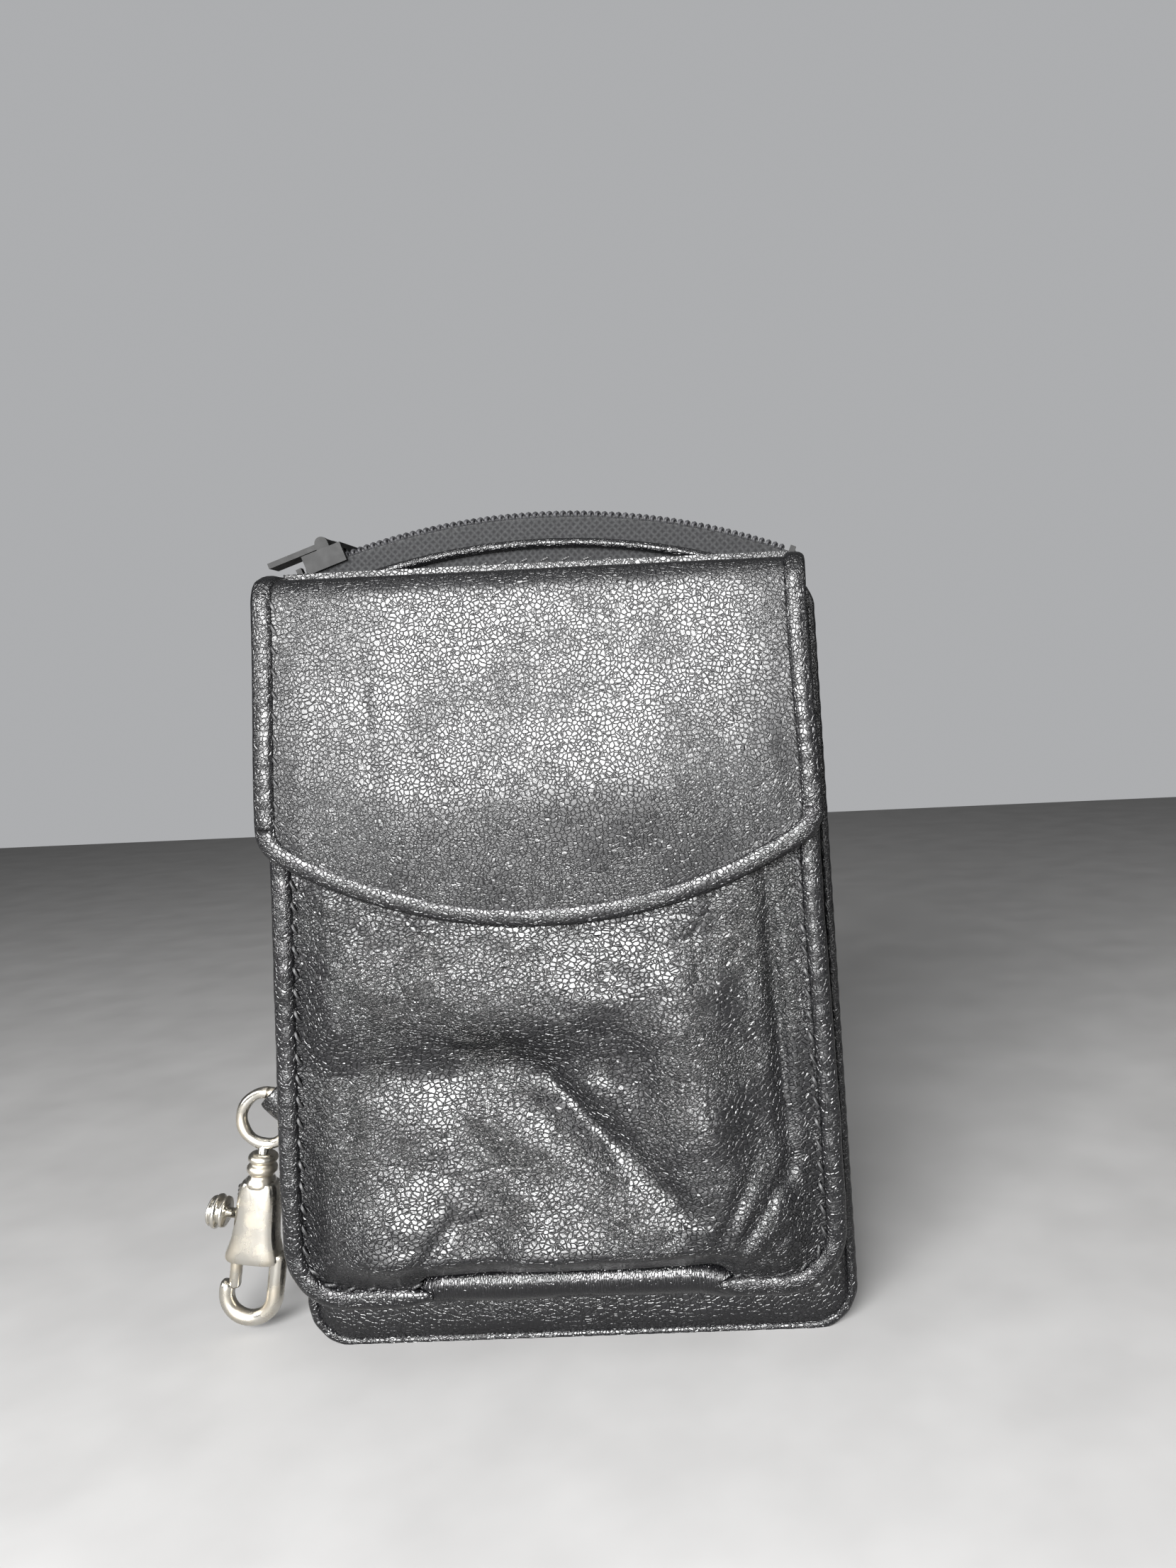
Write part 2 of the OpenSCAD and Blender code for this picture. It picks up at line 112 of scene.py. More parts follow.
# ---- mesh helpers
def circle(k, count):
    """Cosine and sine of step k of count round a circle."""
    a = 2 * pi * k / count
    return cos(a), sin(a)


def wobble(a, b, c):
    """Smooth noise from -1 to 1."""
    return noise.noise(Vector((a, b, c)))


def ring_faces(base, rings, sides, closed=False):
    """Faces between rings of points, the first of them at index base."""
    faces = []
    for i in range(rings if closed else rings - 1):
        m = (i + 1) % rings
        for j in range(sides):
            k = (j + 1) % sides
            low, high = base + i * sides, base + m * sides
            faces.append((low + j, high + j, high + k, low + k))
    return faces


def put(name, verts, faces, material, smooth=True):
    """A mesh object from points in millimetres."""
    mesh = bpy.data.meshes.new(name)
    mesh.from_pydata([(x * MM, y * MM, z * MM) for x, y, z in verts], [], faces)
    mesh.update()
    obj = bpy.data.objects.new(name, mesh)
    bpy.context.collection.objects.link(obj)
    mesh.materials.append(material)
    for poly in mesh.polygons:
        poly.use_smooth = smooth
    return obj


def grid(name, rows, material, ring=False, cap=False):
    """A surface through rows of points. Each row has as many points as the first one."""
    count = len(rows[0])
    verts = [p for row in rows for p in row]
    faces = []
    span = count if ring else count - 1
    for i in range(len(rows) - 1):
        for j in range(span):
            k = (j + 1) % count
            faces.append((i * count + j, (i + 1) * count + j, (i + 1) * count + k, i * count + k))
    if cap:
        faces.append(tuple(range(count)))
        faces.append(tuple(reversed(range((len(rows) - 1) * count, len(rows) * count))))
    obj = put(name, verts, faces, material)
    if ring or cap:
        fix_normals(obj)
    return obj


def fix_normals(obj):
    """Turns the faces of a closed mesh outwards."""
    mesh = bmesh.new()
    mesh.from_mesh(obj.data)
    bmesh.ops.recalc_face_normals(mesh, faces=mesh.faces)
    mesh.to_mesh(obj.data)
    mesh.free()


def thicken(obj, thickness, offset=-1.0):
    """Gives a sheet its thickness, with a crisp cut edge."""
    mesh = bmesh.new()
    mesh.from_mesh(obj.data)
    for side in mesh.edges:
        if side.is_boundary:
            side.smooth = False
    mesh.to_mesh(obj.data)
    mesh.free()
    mod = obj.modifiers.new("thickness", "SOLIDIFY")
    mod.thickness = thickness * MM
    mod.offset = offset
    mod.use_rim = True
    return obj


def smooth_more(obj):
    mod = obj.modifiers.new("smooth", "SUBSURF")
    mod.levels = mod.render_levels = 1


def round_edges(obj, width, segments, angle):
    """Shades a part smooth and rounds its edges sharper than angle."""
    for poly in obj.data.polygons:
        poly.use_smooth = True
    mod = obj.modifiers.new("rounded edges", "BEVEL")
    mod.width = width * MM
    mod.segments = segments
    mod.limit_method = "ANGLE"
    mod.angle_limit = radians(angle)


def dress(obj, nodes):
    """The piece stands for CAD nodes, which are hidden."""
    if nodes:
        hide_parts(*nodes)
    return obj


def settle(obj, body, slot, *nodes):
    """The piece rides on a body, and is dressed."""
    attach(obj, body)
    return dress(obj, nodes)


def skin(obj, *nodes, offset=-1.0):
    """A leather sheet of the pouch that stands for CAD nodes."""
    thicken(obj, LEATHER_T, offset)
    return settle(obj, "pouch", "black_leather", *nodes)


def arc_points(cx, cz, r, start, end, step=0.7):
    """Points and outward normals along an arc, angles in degrees from +X towards +Z."""
    count = max(3, int(abs(radians(end - start)) * r / step) + 1)
    out = []
    for i in range(count + 1):
        a = radians(start + (end - start) * i / count)
        out.append((cx + r * cos(a), cz + r * sin(a), cos(a), sin(a)))
    return out


def line_points(x0, z0, x1, z1, step=0.9):
    """Points along a straight line, with the normal on its right-hand side."""
    length = hypot(x1 - x0, z1 - z0)
    count = max(2, int(length / step))
    nx, nz = (z1 - z0) / length, -(x1 - x0) / length
    return [(x0 + (x1 - x0) * i / count, z0 + (z1 - z0) * i / count, nx, nz) for i in range(count + 1)]


def joined(*stretches):
    """One path from several stretches, dropping the points that they share."""
    path = []
    for stretch in stretches:
        for p in stretch:
            if not path or hypot(p[0] - path[-1][0], p[1] - path[-1][1]) > 0.05:
                path.append(p)
    return path


def distances(path):
    total = [0.0]
    for a, b in zip(path, path[1:]):
        total.append(total[-1] + hypot(b[0] - a[0], b[1] - a[1]))
    return total


def at_distance(path, total, s):
    """Point and normal of a path at distance s."""
    lo, hi = 0, len(total) - 1
    while hi - lo > 1:
        mid = (lo + hi) // 2
        if total[mid] <= s:
            lo = mid
        else:
            hi = mid
    t = (s - total[lo]) / max(total[hi] - total[lo], 1e-9)
    return tuple(path[lo][k] + (path[hi][k] - path[lo][k]) * t for k in range(4))


def sweep(name, path, profile, material, ring=True, cap=True):
    """A band along a path in the XZ plane.

    profile(s, total) gives (out, y) pairs; out runs along the path's normal."""
    total = distances(path)
    rows = []
    for p, s in zip(path, total):
        rows.append([(p[0] + out * p[2], y, p[1] + out * p[3]) for out, y in profile(s, total[-1])])
    return grid(name, rows, material, ring=ring, cap=cap and ring)


def oval(out_mid, y_mid, half_out, half_y, count=14, power=1.0):
    """Points round an oval profile; power below 1 makes it squarer."""
    pts = []
    for i in range(count):
        c, s = circle(i, count)
        pts.append((out_mid + half_out * copysign(abs(c) ** power, c),
                    y_mid + half_y * copysign(abs(s) ** power, s)))
    return pts


def bell(x, z, cx, cz, wx, wz):
    return exp(-((x - cx) / wx) ** 2 - ((z - cz) / wz) ** 2)


def groove(x, z, a, b, width):
    """1 on the line from a to b, falling off to the side and past the ends."""
    ax, az = a
    dx, dz = b[0] - ax, b[1] - az
    t = ((x - ax) * dx + (z - az) * dz) / (dx * dx + dz * dz)
    t = min(1.0, max(0.0, t))
    d = hypot(x - ax - dx * t, z - az - dz * t)
    fade = sin(pi * min(1.0, max(0.0, 0.12 + 0.76 * t)))
    return exp(-(d / width) ** 2) * fade


def rumple(x, z, size, seed=0.0):
    """Smooth noise from -1 to 1 with features of about that size."""
    return noise.fractal(Vector((x / size, seed, z / size)), 1.0, 2.1, 3)


def clamp(v, low=0.0, high=1.0):
    return min(high, max(low, v))


def ease(t):
    t = clamp(t)
    return t * t * (3 - 2 * t)


# ---- materials
def new_material(name):
    mat = bpy.data.materials.new(name)
    mat.use_nodes = True
    tree = mat.node_tree
    coord = tree.nodes.new("ShaderNodeTexCoord").outputs["Object"]
    return mat, tree, tree.nodes["Principled BSDF"], coord


def node(tree, kind, inputs=None, **settings):
    """A node with its settings; each input is linked if it is a socket and set if it is a value."""
    made = tree.nodes.new(kind)
    for key, value in settings.items():
        setattr(made, key, value)
    for key, value in (inputs or {}).items():
        if isinstance(value, bpy.types.NodeSocket):
            tree.links.new(value, made.inputs[key])
        else:
            made.inputs[key].default_value = value
    return made


def ramp(tree, fac, stops):
    made = node(tree, "ShaderNodeValToRGB", {"Fac": fac})
    elements = made.color_ramp.elements
    for element, (pos, value) in zip(elements, stops):
        element.position = pos
        element.color = (*value, 1) if isinstance(value, tuple) else (value, value, value, 1)
    return made.outputs["Color"]


def math_node(tree, op, a, b):
    return node(tree, "ShaderNodeMath", {0: a, 1: b}, operation=op).outputs[0]


def clouds(tree, vector, scale, detail, output="Fac"):
    made = node(tree, "ShaderNodeTexNoise", {"Vector": vector, "Scale": scale, "Detail": detail})
    return made.outputs[output]


def cell_edges(tree, vector, scale):
    """Distance to the nearest cell edge."""
    made = node(tree, "ShaderNodeTexVoronoi", {"Vector": vector, "Scale": scale}, feature="DISTANCE_TO_EDGE")
    return made.outputs["Distance"]


def dome(tree, value, reach):
    """Rises from 0 at a cell's edge to a rounded top."""
    made = node(tree, "ShaderNodeMapRange", {"Value": value, "From Min": 0.0, "From Max": reach},
                interpolation_type="SMOOTHSTEP")
    return made.outputs["Result"]


def finish(tree, bsdf, height, strength, depth_mm, colour, rough=None):
    """Bump, base colour and, where it varies, roughness."""
    bump = node(tree, "ShaderNodeBump", {"Height": height, "Strength": strength, "Distance": depth_mm * MM})
    tree.links.new(bump.outputs[0], bsdf.inputs["Normal"])
    tree.links.new(colour, bsdf.inputs["Base Color"])
    if rough is not None:
        tree.links.new(rough, bsdf.inputs["Roughness"])


def leather(name, dark, light, grain_mm, depth, rough, stretch=(1, 1, 1), creases=0.5):
    """Pebbled leather: cells with valleys between them, finer wrinkles, long creases and cloudy gloss."""
    mat, tree, bsdf, coord = new_material(name)
    scaled = node(tree, "ShaderNodeMapping", {"Vector": coord, "Scale": stretch}).outputs[0]
    warp = clouds(tree, scaled, WARP_SCALE, 2.0, "Color")
    shift = node(tree, "ShaderNodeVectorMath", {0: warp, 1: (0.5, 0.5, 0.5)}, operation="SUBTRACT")
    push = node(tree, "ShaderNodeVectorMath", {0: shift.outputs[0], "Scale": WARP_REACH}, operation="SCALE")
    where = node(tree, "ShaderNodeVectorMath", {0: scaled, 1: push.outputs[0]}, operation="ADD").outputs[0]
    pebble = dome(tree, cell_edges(tree, where, PEBBLES_PER_M / grain_mm), PEBBLE_VALLEY)
    small = dome(tree, cell_edges(tree, where, WRINKLES_PER_M / grain_mm), WRINKLE_VALLEY)
    patches = clouds(tree, coord, PATCH_SCALE, 3.0)
    share = ramp(tree, patches, [(0.35, 0.65), (0.6, 1.0)])
    mixed = node(tree, "ShaderNodeMix", {0: share, 2: small, 3: pebble}, data_type="FLOAT").outputs[0]
    crease = dome(tree, cell_edges(tree, where, CREASES_PER_M), CREASE_VALLEY)
    height = math_node(tree, "ADD", mixed, math_node(tree, "MULTIPLY", crease, creases))
    speckle = clouds(tree, coord, SPECKLE_SCALE, 1.0)
    height = math_node(tree, "ADD", height, math_node(tree, "MULTIPLY", speckle, SPECKLE_SHARE))
    colour = ramp(tree, math_node(tree, "MULTIPLY", mixed, patches), [(0.0, dark), (0.8, light)])
    gloss = ramp(tree, patches, [(0.3, rough[0]), (0.7, rough[1])])
    finish(tree, bsdf, height, 1.0, depth, colour, gloss)
    bsdf.inputs["Specular IOR Level"].default_value = 0.42
    return mat


def woven(name, dark, light, thread_mm, diagonal=False):
    """Plain or twill weave from two crossed waves."""
    mat, tree, bsdf, coord = new_material(name)
    turn = (0, radians(45), 0) if diagonal else (0, 0, 0)
    turned = node(tree, "ShaderNodeMapping", {"Vector": coord, "Rotation": turn}).outputs[0]
    waves = []
    for direction in ("X", "Z"):
        wave = node(tree, "ShaderNodeTexWave",
                    {"Vector": turned, "Scale": WAVES_PER_M / thread_mm, "Distortion": 0.6},
                    wave_type="BANDS", bands_direction=direction)
        waves.append(wave.outputs["Fac"])
    weave = math_node(tree, "MAXIMUM", waves[0], waves[1])
    fuzz = clouds(tree, coord, FUZZ_SCALE, 2.0)
    colour = ramp(tree, math_node(tree, "MULTIPLY", weave, fuzz), [(0.1, dark), (0.8, light)])
    finish(tree, bsdf, math_node(tree, "ADD", weave, fuzz), 0.6, 0.12, colour)
    for key, value in (("Roughness", 0.85), ("Sheen Weight", 0.12), ("Specular IOR Level", 0.2)):
        bsdf.inputs[key].default_value = value
    return mat


def plated(name, colour, tint, rough=(0.16, 0.42)):
    """Worn nickel plate: cloudy gloss, fine scratches and a warmer tarnish."""
    mat, tree, bsdf, coord = new_material(name)
    cloud = clouds(tree, coord, 260.0, 5.0)
    long_way = node(tree, "ShaderNodeMapping", {"Vector": coord, "Scale": (1, 1, 0.12)}).outputs[0]
    pits = math_node(tree, "ADD", clouds(tree, long_way, 2600.0, 2.0), cloud)
    gloss = ramp(tree, cloud, [(0.35, rough[0]), (0.7, rough[1])])
    finish(tree, bsdf, pits, 0.35, 0.05, ramp(tree, cloud, [(0.35, colour), (0.68, tint)]), gloss)
    bsdf.inputs["Metallic"].default_value = 1.0
    return mat


def thread_material(name, dark, light):
    """Waxed thread with a slanted twist."""
    mat, tree, bsdf, coord = new_material(name)
    turned = node(tree, "ShaderNodeMapping", {"Vector": coord, "Rotation": (0, radians(35), 0)}).outputs[0]
    ply = node(tree, "ShaderNodeTexWave",
               {"Vector": turned, "Scale": 700.0, "Distortion": 1.0}).outputs["Fac"]
    finish(tree, bsdf, ply, 0.6, 0.08, ramp(tree, ply, [(0.2, dark), (0.9, light)]))
    bsdf.inputs["Roughness"].default_value = 0.55
    return mat


def coated(name, dark, light, rough=(0.3, 0.5), scale=900.0):
    """Moulded nylon or enamel with a faint orange peel."""
    mat, tree, bsdf, coord = new_material(name)
    peel = clouds(tree, coord, scale, 3.0)
    gloss = ramp(tree, peel, [(0.3, rough[0]), (0.7, rough[1])])
    finish(tree, bsdf, peel, 0.3, 0.05, ramp(tree, peel, [(0.3, dark), (0.7, light)]), gloss)
    bsdf.inputs["Specular IOR Level"].default_value = 0.15
    return mat


# Leather grain: counts and noise scales per metre, valley widths as a share of a cell
WARP_SCALE, WARP_REACH = 420.0, 0.0011
PEBBLES_PER_M, PEBBLE_VALLEY = 1000.0, 0.16
WRINKLES_PER_M, WRINKLE_VALLEY = 2300.0, 0.2
CREASES_PER_M, CREASE_VALLEY = 115.0, 0.07
PATCH_SCALE = 70.0
SPECKLE_SCALE, SPECKLE_SHARE = 2600.0, 0.10
# Weave
WAVES_PER_M, FUZZ_SCALE = 160.0, 2500.0

BLACK = (0.001, 0.001, 0.0012)
SOFT_BLACK = (0.004, 0.004, 0.0046)
MAT_FLAP = leather("leather_flap", BLACK, SOFT_BLACK, grain_mm=0.74, depth=0.085, rough=(0.27, 0.34),
                   creases=0.12)
MAT_POCKET = leather("leather_pocket", BLACK, SOFT_BLACK, grain_mm=0.82, depth=0.12, rough=(0.21, 0.29),
                     creases=0.4,
                     stretch=(0.9, 1, 1.15))
MAT_EDGE = leather("leather_edge", BLACK, SOFT_BLACK, grain_mm=0.75, depth=0.08, rough=(0.19, 0.27),
                   creases=0.1)
MAT_ROLL = leather("leather_roll", BLACK, SOFT_BLACK, grain_mm=0.75, depth=0.06, rough=(0.17, 0.25),
                   stretch=(2.2, 1, 0.5), creases=0.1)
MAT_BACK = leather("leather_back", BLACK, SOFT_BLACK, grain_mm=0.85, depth=0.06, rough=(0.22, 0.30),
                   creases=0.2)
MAT_RAW = leather("leather_raw", (0.10, 0.115, 0.10), (0.2, 0.22, 0.19), grain_mm=0.4, depth=0.12,
                  rough=(0.8, 0.95))
MAT_LINING = woven("lining_weave", (0.012, 0.012, 0.014), (0.06, 0.06, 0.065), thread_mm=0.35)
MAT_TAPE = woven("tape_weave", (0.003, 0.003, 0.0035), (0.018, 0.0185, 0.019), thread_mm=0.5, diagonal=True)
MAT_COIL = coated("coil_nylon", (0.012, 0.012, 0.013), (0.03, 0.03, 0.032))
MAT_ENAMEL = coated("zip_enamel", (0.003, 0.003, 0.003), (0.009, 0.009, 0.009), rough=(0.5, 0.65),
                    scale=500.0)
MAT_THREAD = thread_material("stitch_thread", (0.003, 0.003, 0.003), (0.012, 0.012, 0.013))
MAT_NICKEL = plated("clasp_nickel", (0.58, 0.56, 0.51), (0.42, 0.38, 0.31))
MAT_SNAP = plated("snap_plate", (0.30, 0.29, 0.275), (0.17, 0.165, 0.15), rough=(0.28, 0.45))


# ---- outlines
ARCH_A = degrees(asin((SHOULDER_W / 2 - SHOULDER_R) / (PANEL_R - SHOULDER_R)))
SHOULDER_Z = ARCH_Z + (PANEL_R - SHOULDER_R) * cos(radians(ARCH_A))
BODY_HALF = PANEL_HIGH[0]
TOP_HALF = SHOULDER_W / 2
POCKET_HALF = POCKET_HIGH[0]
POCKET_Z = POCKET_LOW[2]
POCKET_TOP = POCKET_HIGH[2]
POCKET_Y = POCKET_LOW[1]
FLAP_HALF = FLAP_HIGH[0]
FLAP_ARC_Z = FLAP_LOW[2] + FLAP_CURVE_R
FLAP_A = degrees(asin((FLAP_HALF - FLAP_R) / (FLAP_CURVE_R - FLAP_R)))
FLAP_CORNER_Z = FLAP_ARC_Z - (FLAP_CURVE_R - FLAP_R) * cos(radians(FLAP_A))
SEAM_Y = PANEL_LOW[1]
BACK_Y = BACK_HIGH[1]
FOLD_TOP = FOLD_HIGH[2]


def compartment_rim(inset=0.0):
    """Left shoulder, down, along the bottom and up to the right shoulder."""
    r, c = SHOULDER_R - inset, CORNER_R - inset
    top, low = TOP_HALF - inset, BODY_HALF - inset
    return joined(
        arc_points(-TOP_HALF + SHOULDER_R, SHOULDER_Z, r, 90 + ARCH_A, 180),
        line_points(-top, SHOULDER_Z, -low, CORNER_R),
        arc_points(-BODY_HALF + CORNER_R, CORNER_R, c, 180, 270),
        line_points(-BODY_HALF + CORNER_R, inset, BODY_HALF - CORNER_R, inset),
        arc_points(BODY_HALF - CORNER_R, CORNER_R, c, 270, 360),
        line_points(low, CORNER_R, top, SHOULDER_Z),
        arc_points(TOP_HALF - SHOULDER_R, SHOULDER_Z, r, 0, 90 - ARCH_A))


def flared(x, z):
    """The soft pocket is a little wider at its full bottom than at its mouth."""
    return x * (1 + POCKET_FLARE * ease((POCKET_TOP - 25 - z) / 75))


def pocket_side(side, inset, end_x, top=None):
    """Down one side of the pocket and in along the bottom to end_x. side is -1 for left, 1 for right."""
    top = POCKET_TOP if top is None else top
    centre = POCKET_HALF - POCKET_R
    path = joined(
        line_points(-POCKET_HALF + inset, top, -POCKET_HALF + inset, POCKET_Z + POCKET_R),
        arc_points(-centre, POCKET_Z + POCKET_R, POCKET_R - inset, 180, 270),
        line_points(-centre, POCKET_Z + inset, -abs(end_x), POCKET_Z + inset))
    path = [(flared(x, z) if abs(x) > abs(end_x) + 1 else x, z, nx, nz) for x, z, nx, nz in path]
    return path if side < 0 else [(-x, z, -nx, nz) for x, z, nx, nz in path]


def flap_rim(inset, top):
    """Down the flap's left side, round the curved edge and up the right side."""
    return joined(
        line_points(-FLAP_HALF + inset, top, -FLAP_HALF + inset, FLAP_CORNER_Z),
        arc_points(-FLAP_HALF + FLAP_R, FLAP_CORNER_Z, FLAP_R - inset, 180, 270 - FLAP_A),
        arc_points(0, FLAP_ARC_Z, FLAP_CURVE_R - inset, 270 - FLAP_A, 270 + FLAP_A),
        arc_points(FLAP_HALF - FLAP_R, FLAP_CORNER_Z, FLAP_R - inset, 270 + FLAP_A, 360),
        line_points(FLAP_HALF - inset, FLAP_CORNER_Z, FLAP_HALF - inset, top))


def shares(count):
    """Even steps from 0 to 1."""
    return [i / count for i in range(count + 1)]


def spread(count):
    """Numbers from -1 to 1, closer together near the ends."""
    return [0.55 * sin(pi / 2 * (2 * i / count - 1)) + 0.45 * (2 * i / count - 1) for i in range(count + 1)]


def columns(name, xs, z_low, z_high, nz, place, material):
    """A panel facing -Y: for each x, points from z_low(x) to z_high(x), each put at place(x, z)."""
    rows = []
    for x in xs:
        low, high = z_low(x), z_high(x)
        rows.append([place(x, low + (high - low) * j / nz) for j in range(nz + 1)])
    return grid(name, rows, material)


def round_corner(x, half, r):
    """How far the bottom edge rises at x where the corner of radius r turns up."""
    over = abs(x) - (half - r)
    return 0.0 if over <= 0 else r - sqrt(max(0.0, r * r - over * over))


# ---- stitches
def stitch_row(name, spots, slant):
    """Threads lying at spots (x, y, z, angle, facing); angle is the row's direction in the XZ plane."""
    verts, faces = [], []
    rings, sides = 7, 8
    for x, y, z, angle, facing in spots:
        turn = radians(angle + slant)
        along = (cos(turn), sin(turn))
        across = (-along[1], along[0])
        half = STITCH_LENGTH / 2 * random.uniform(0.94, 1.05)
        base = len(verts)
        for i in range(rings):
            t = -1 + 2 * i / (rings - 1)
            size = THREAD_T / 2 * sqrt(max(0.05, 1 - t ** 4))
            sink = 0.42 * t * t
            for j in range(sides):
                c, s = circle(j, sides)
                side_step = size * c
                lift = size * 0.8 * s - sink
                verts.append((x + along[0] * half * t + across[0] * side_step, y + facing * lift,
                              z + along[1] * half * t + across[1] * side_step))
        faces += ring_faces(base, rings, sides)
        faces.append(tuple(base + j for j in range(sides)))
        faces.append(tuple(base + (rings - 1) * sides + j for j in reversed(range(sides))))
    obj = put(name, verts, faces, MAT_THREAD)
    fix_normals(obj)
    return obj


def sewn(name, spots, *nodes, slant=20.0):
    """A row of stitches that rides on the pouch."""
    return settle(stitch_row(name, spots, slant), "pouch", "thread", *nodes)


def spots_along(path, surface_y, facing, start=2.0, end=2.0, pitch=STITCH_PITCH):
    """Places for stitches along a path in the XZ plane."""
    total = distances(path)
    count = max(1, int((total[-1] - start - end) / pitch))
    spots = []
    for i in range(count + 1):
        s = start + (total[-1] - start - end) * i / count
        x, z, nx, nz = at_distance(path, total, s)
        spots.append((x, surface_y(x, z), z, degrees(atan2(nx, -nz)), facing))
    return spots


# ---- zip compartment
def compartment_half(z):
    t = clamp((z - CORNER_R) / (SHOULDER_Z - CORNER_R))
    return BODY_HALF + (TOP_HALF - BODY_HALF) * t


def compartment_panel(name, y_at, material, facing):
    """A panel from the bottom edge to the arch; y_at(x, z, edge) gives its outer face."""
    nz = 90
    rows = []
    for u in spread(96):
        low = round_corner(u * BODY_HALF, BODY_HALF, CORNER_R)
        x_top = u * TOP_HALF
        over = abs(x_top) - PANEL_R * sin(radians(ARCH_A))
        if over <= 0:
            high = ARCH_Z + sqrt(PANEL_R ** 2 - x_top ** 2)
        else:
            past = abs(x_top) - TOP_HALF + SHOULDER_R
            high = SHOULDER_Z + sqrt(max(0.0, SHOULDER_R ** 2 - past ** 2))
        row = []
        for j in range(nz + 1):
            z = low + (high - low) * j / nz
            half = compartment_half(z)
            x = u * half
            edge = min(half - abs(x), z - low + (0 if abs(u) > 0.9 else 0.3))
            row.append((x, y_at(x, z, edge, high - z), z))
        rows.append(row)
    if facing > 0:
        rows.reverse()
    return grid(name, rows, material)


def lean_back(x, z):
    """The front panel hangs back a little below its top edge, above the flap's fold."""
    return 1.5 * ease((z - FOLD_TOP + 6) / 5) * ease((37 - abs(x)) / 7)


def middle_y(x, z, edge, from_top):
    pocket_gap = ease((POCKET_Z + 2 - z) / 8)
    puff = 0.9 * pocket_gap * ease(edge / 5)
    seam = 0.8 * (1 - ease(edge / 2.2))
    return lean_back(x, z) + SEAM_Y + seam - puff + 0.12 * rumple(x, z, 9, 3.0) * pocket_gap


def back_face_y(x, z, edge, from_top):
    pillow = 1.1 * ease(edge / 16) * (0.35 + 0.65 * ease(from_top / 40))
    dents = 0.5 * rumple(x, z, 30, 8.0) + 0.12 * rumple(x, z, 8, 2.0)
    seam = exp(-((edge - 3.0) / 0.9) ** 2) * 0.4
    return BACK_Y - 0.9 * (1 - ease(edge / 2.0)) + pillow * 0.6 + dents * ease(edge / 8) - seam


skin(compartment_panel("middle_panel_skin", middle_y, MAT_BACK, -1), "middle_panel")
skin(compartment_panel("back_panel_skin", back_face_y, MAT_BACK, 1), "back_panel")

rim = compartment_rim(0.2)
for pipe_name, pipe_y, stands_for in (("middle_piping_bead", SEAM_Y + 0.75, "middle_piping"),
                                      ("back_piping_bead", BACK_Y - 0.75, "back_piping")):
    def bead(s, total, y=pipe_y):
        r = 0.98 + 0.05 * sin(s * 1.7)
        return oval(0.0, y, r, r * 1.05, 12)
    pipe = sweep(pipe_name, rim, bead, MAT_EDGE)
    settle(pipe, "pouch", "black_leather", stands_for)


def gusset_profile(s, total):
    pts = []
    for t in shares(9):
        swell = sin(pi * t)
        wave = 0.3 * wobble(s / 9, t * 2.0, 4.0)
        pts.append((-0.55 + 0.75 * swell + wave * swell, SEAM_Y + 1.0 + (BACK_Y - SEAM_Y - 2.0) * t))
    return pts


gusset = sweep("compartment_gusset_skin", rim, gusset_profile, MAT_BACK, ring=False)
skin(gusset, "compartment_gusset", offset=1.0)

back_spots = spots_along(compartment_rim(BACK_ROW_IN), lambda x,
                         z: back_face_y(x, z, BACK_ROW_IN, 60) + 0.18, 1)
sewn("back_panel_stitches", back_spots, "back_stitches")
middle_spots = [p for p in spots_along(compartment_rim(MIDDLE_ROW_IN), lambda x, z: SEAM_Y - 0.12, -1)
                if p[2] < POCKET_Z + 3 or p[0] > POCKET_HALF]
sewn("middle_panel_stitches", middle_spots)

top_row = arc_points(0, ARCH_Z, PANEL_R - TOP_ROW_IN, 90 + ARCH_A - 4, 90 - ARCH_A + 4)
top_spots = spots_along(top_row, lambda x, z: middle_y(x, z, 9, 3) - 0.1, -1)
sewn("middle_top_stitches", top_spots)
top_spots = spots_along(top_row, lambda x, z: back_face_y(x, z, 9, 3) + 0.15, 1)
sewn("back_top_stitches", top_spots)

arch_edge = arc_points(0, ARCH_Z, PANEL_R - 0.3, 90 + ARCH_A, 90 - ARCH_A)
for bead_name, bead_y in (("middle_top_bead", SEAM_Y + 0.65), ("back_top_bead", BACK_Y - 0.65)):
    def rolled(s, total, y=bead_y):
        return oval(0.0, y, 0.85, 1.0, 14)
    settle(sweep(bead_name, arch_edge, rolled, MAT_EDGE), "pouch", "black_leather")

# ---- zip
ZIP_A = degrees(asin(COIL_HIGH[0] / (ARCH_R + COIL_H)))
tape_path = arc_points(0, ARCH_Z, ARCH_R, 90.9 + ZIP_A, 89.1 - ZIP_A)
TAPE_T = TAPE_HIGH[1] - TAPE_LOW[1]
for tape_name, tape_y, stands_for in (("zip_tape_front_weave", TAPE_LOW[1], "zip_tape_front"),
                                      ("zip_tape_back_weave", TAPE_BACK_LOW[1], "zip_tape_back")):
    def tape_profile(s, total, y=tape_y):
        ripple = 0.07 * sin(s * 0.55) + 0.05 * sin(s * 1.3)
        pts = [(-9.0 + 9.0 * i / 8, y + ripple * i / 8) for i in range(9)]
        return pts + [(out, yy + TAPE_T) for out, yy in reversed(pts)]
    settle(sweep(tape_name, tape_path, tape_profile, MAT_TAPE), "pouch", "zip_tape", stands_for)


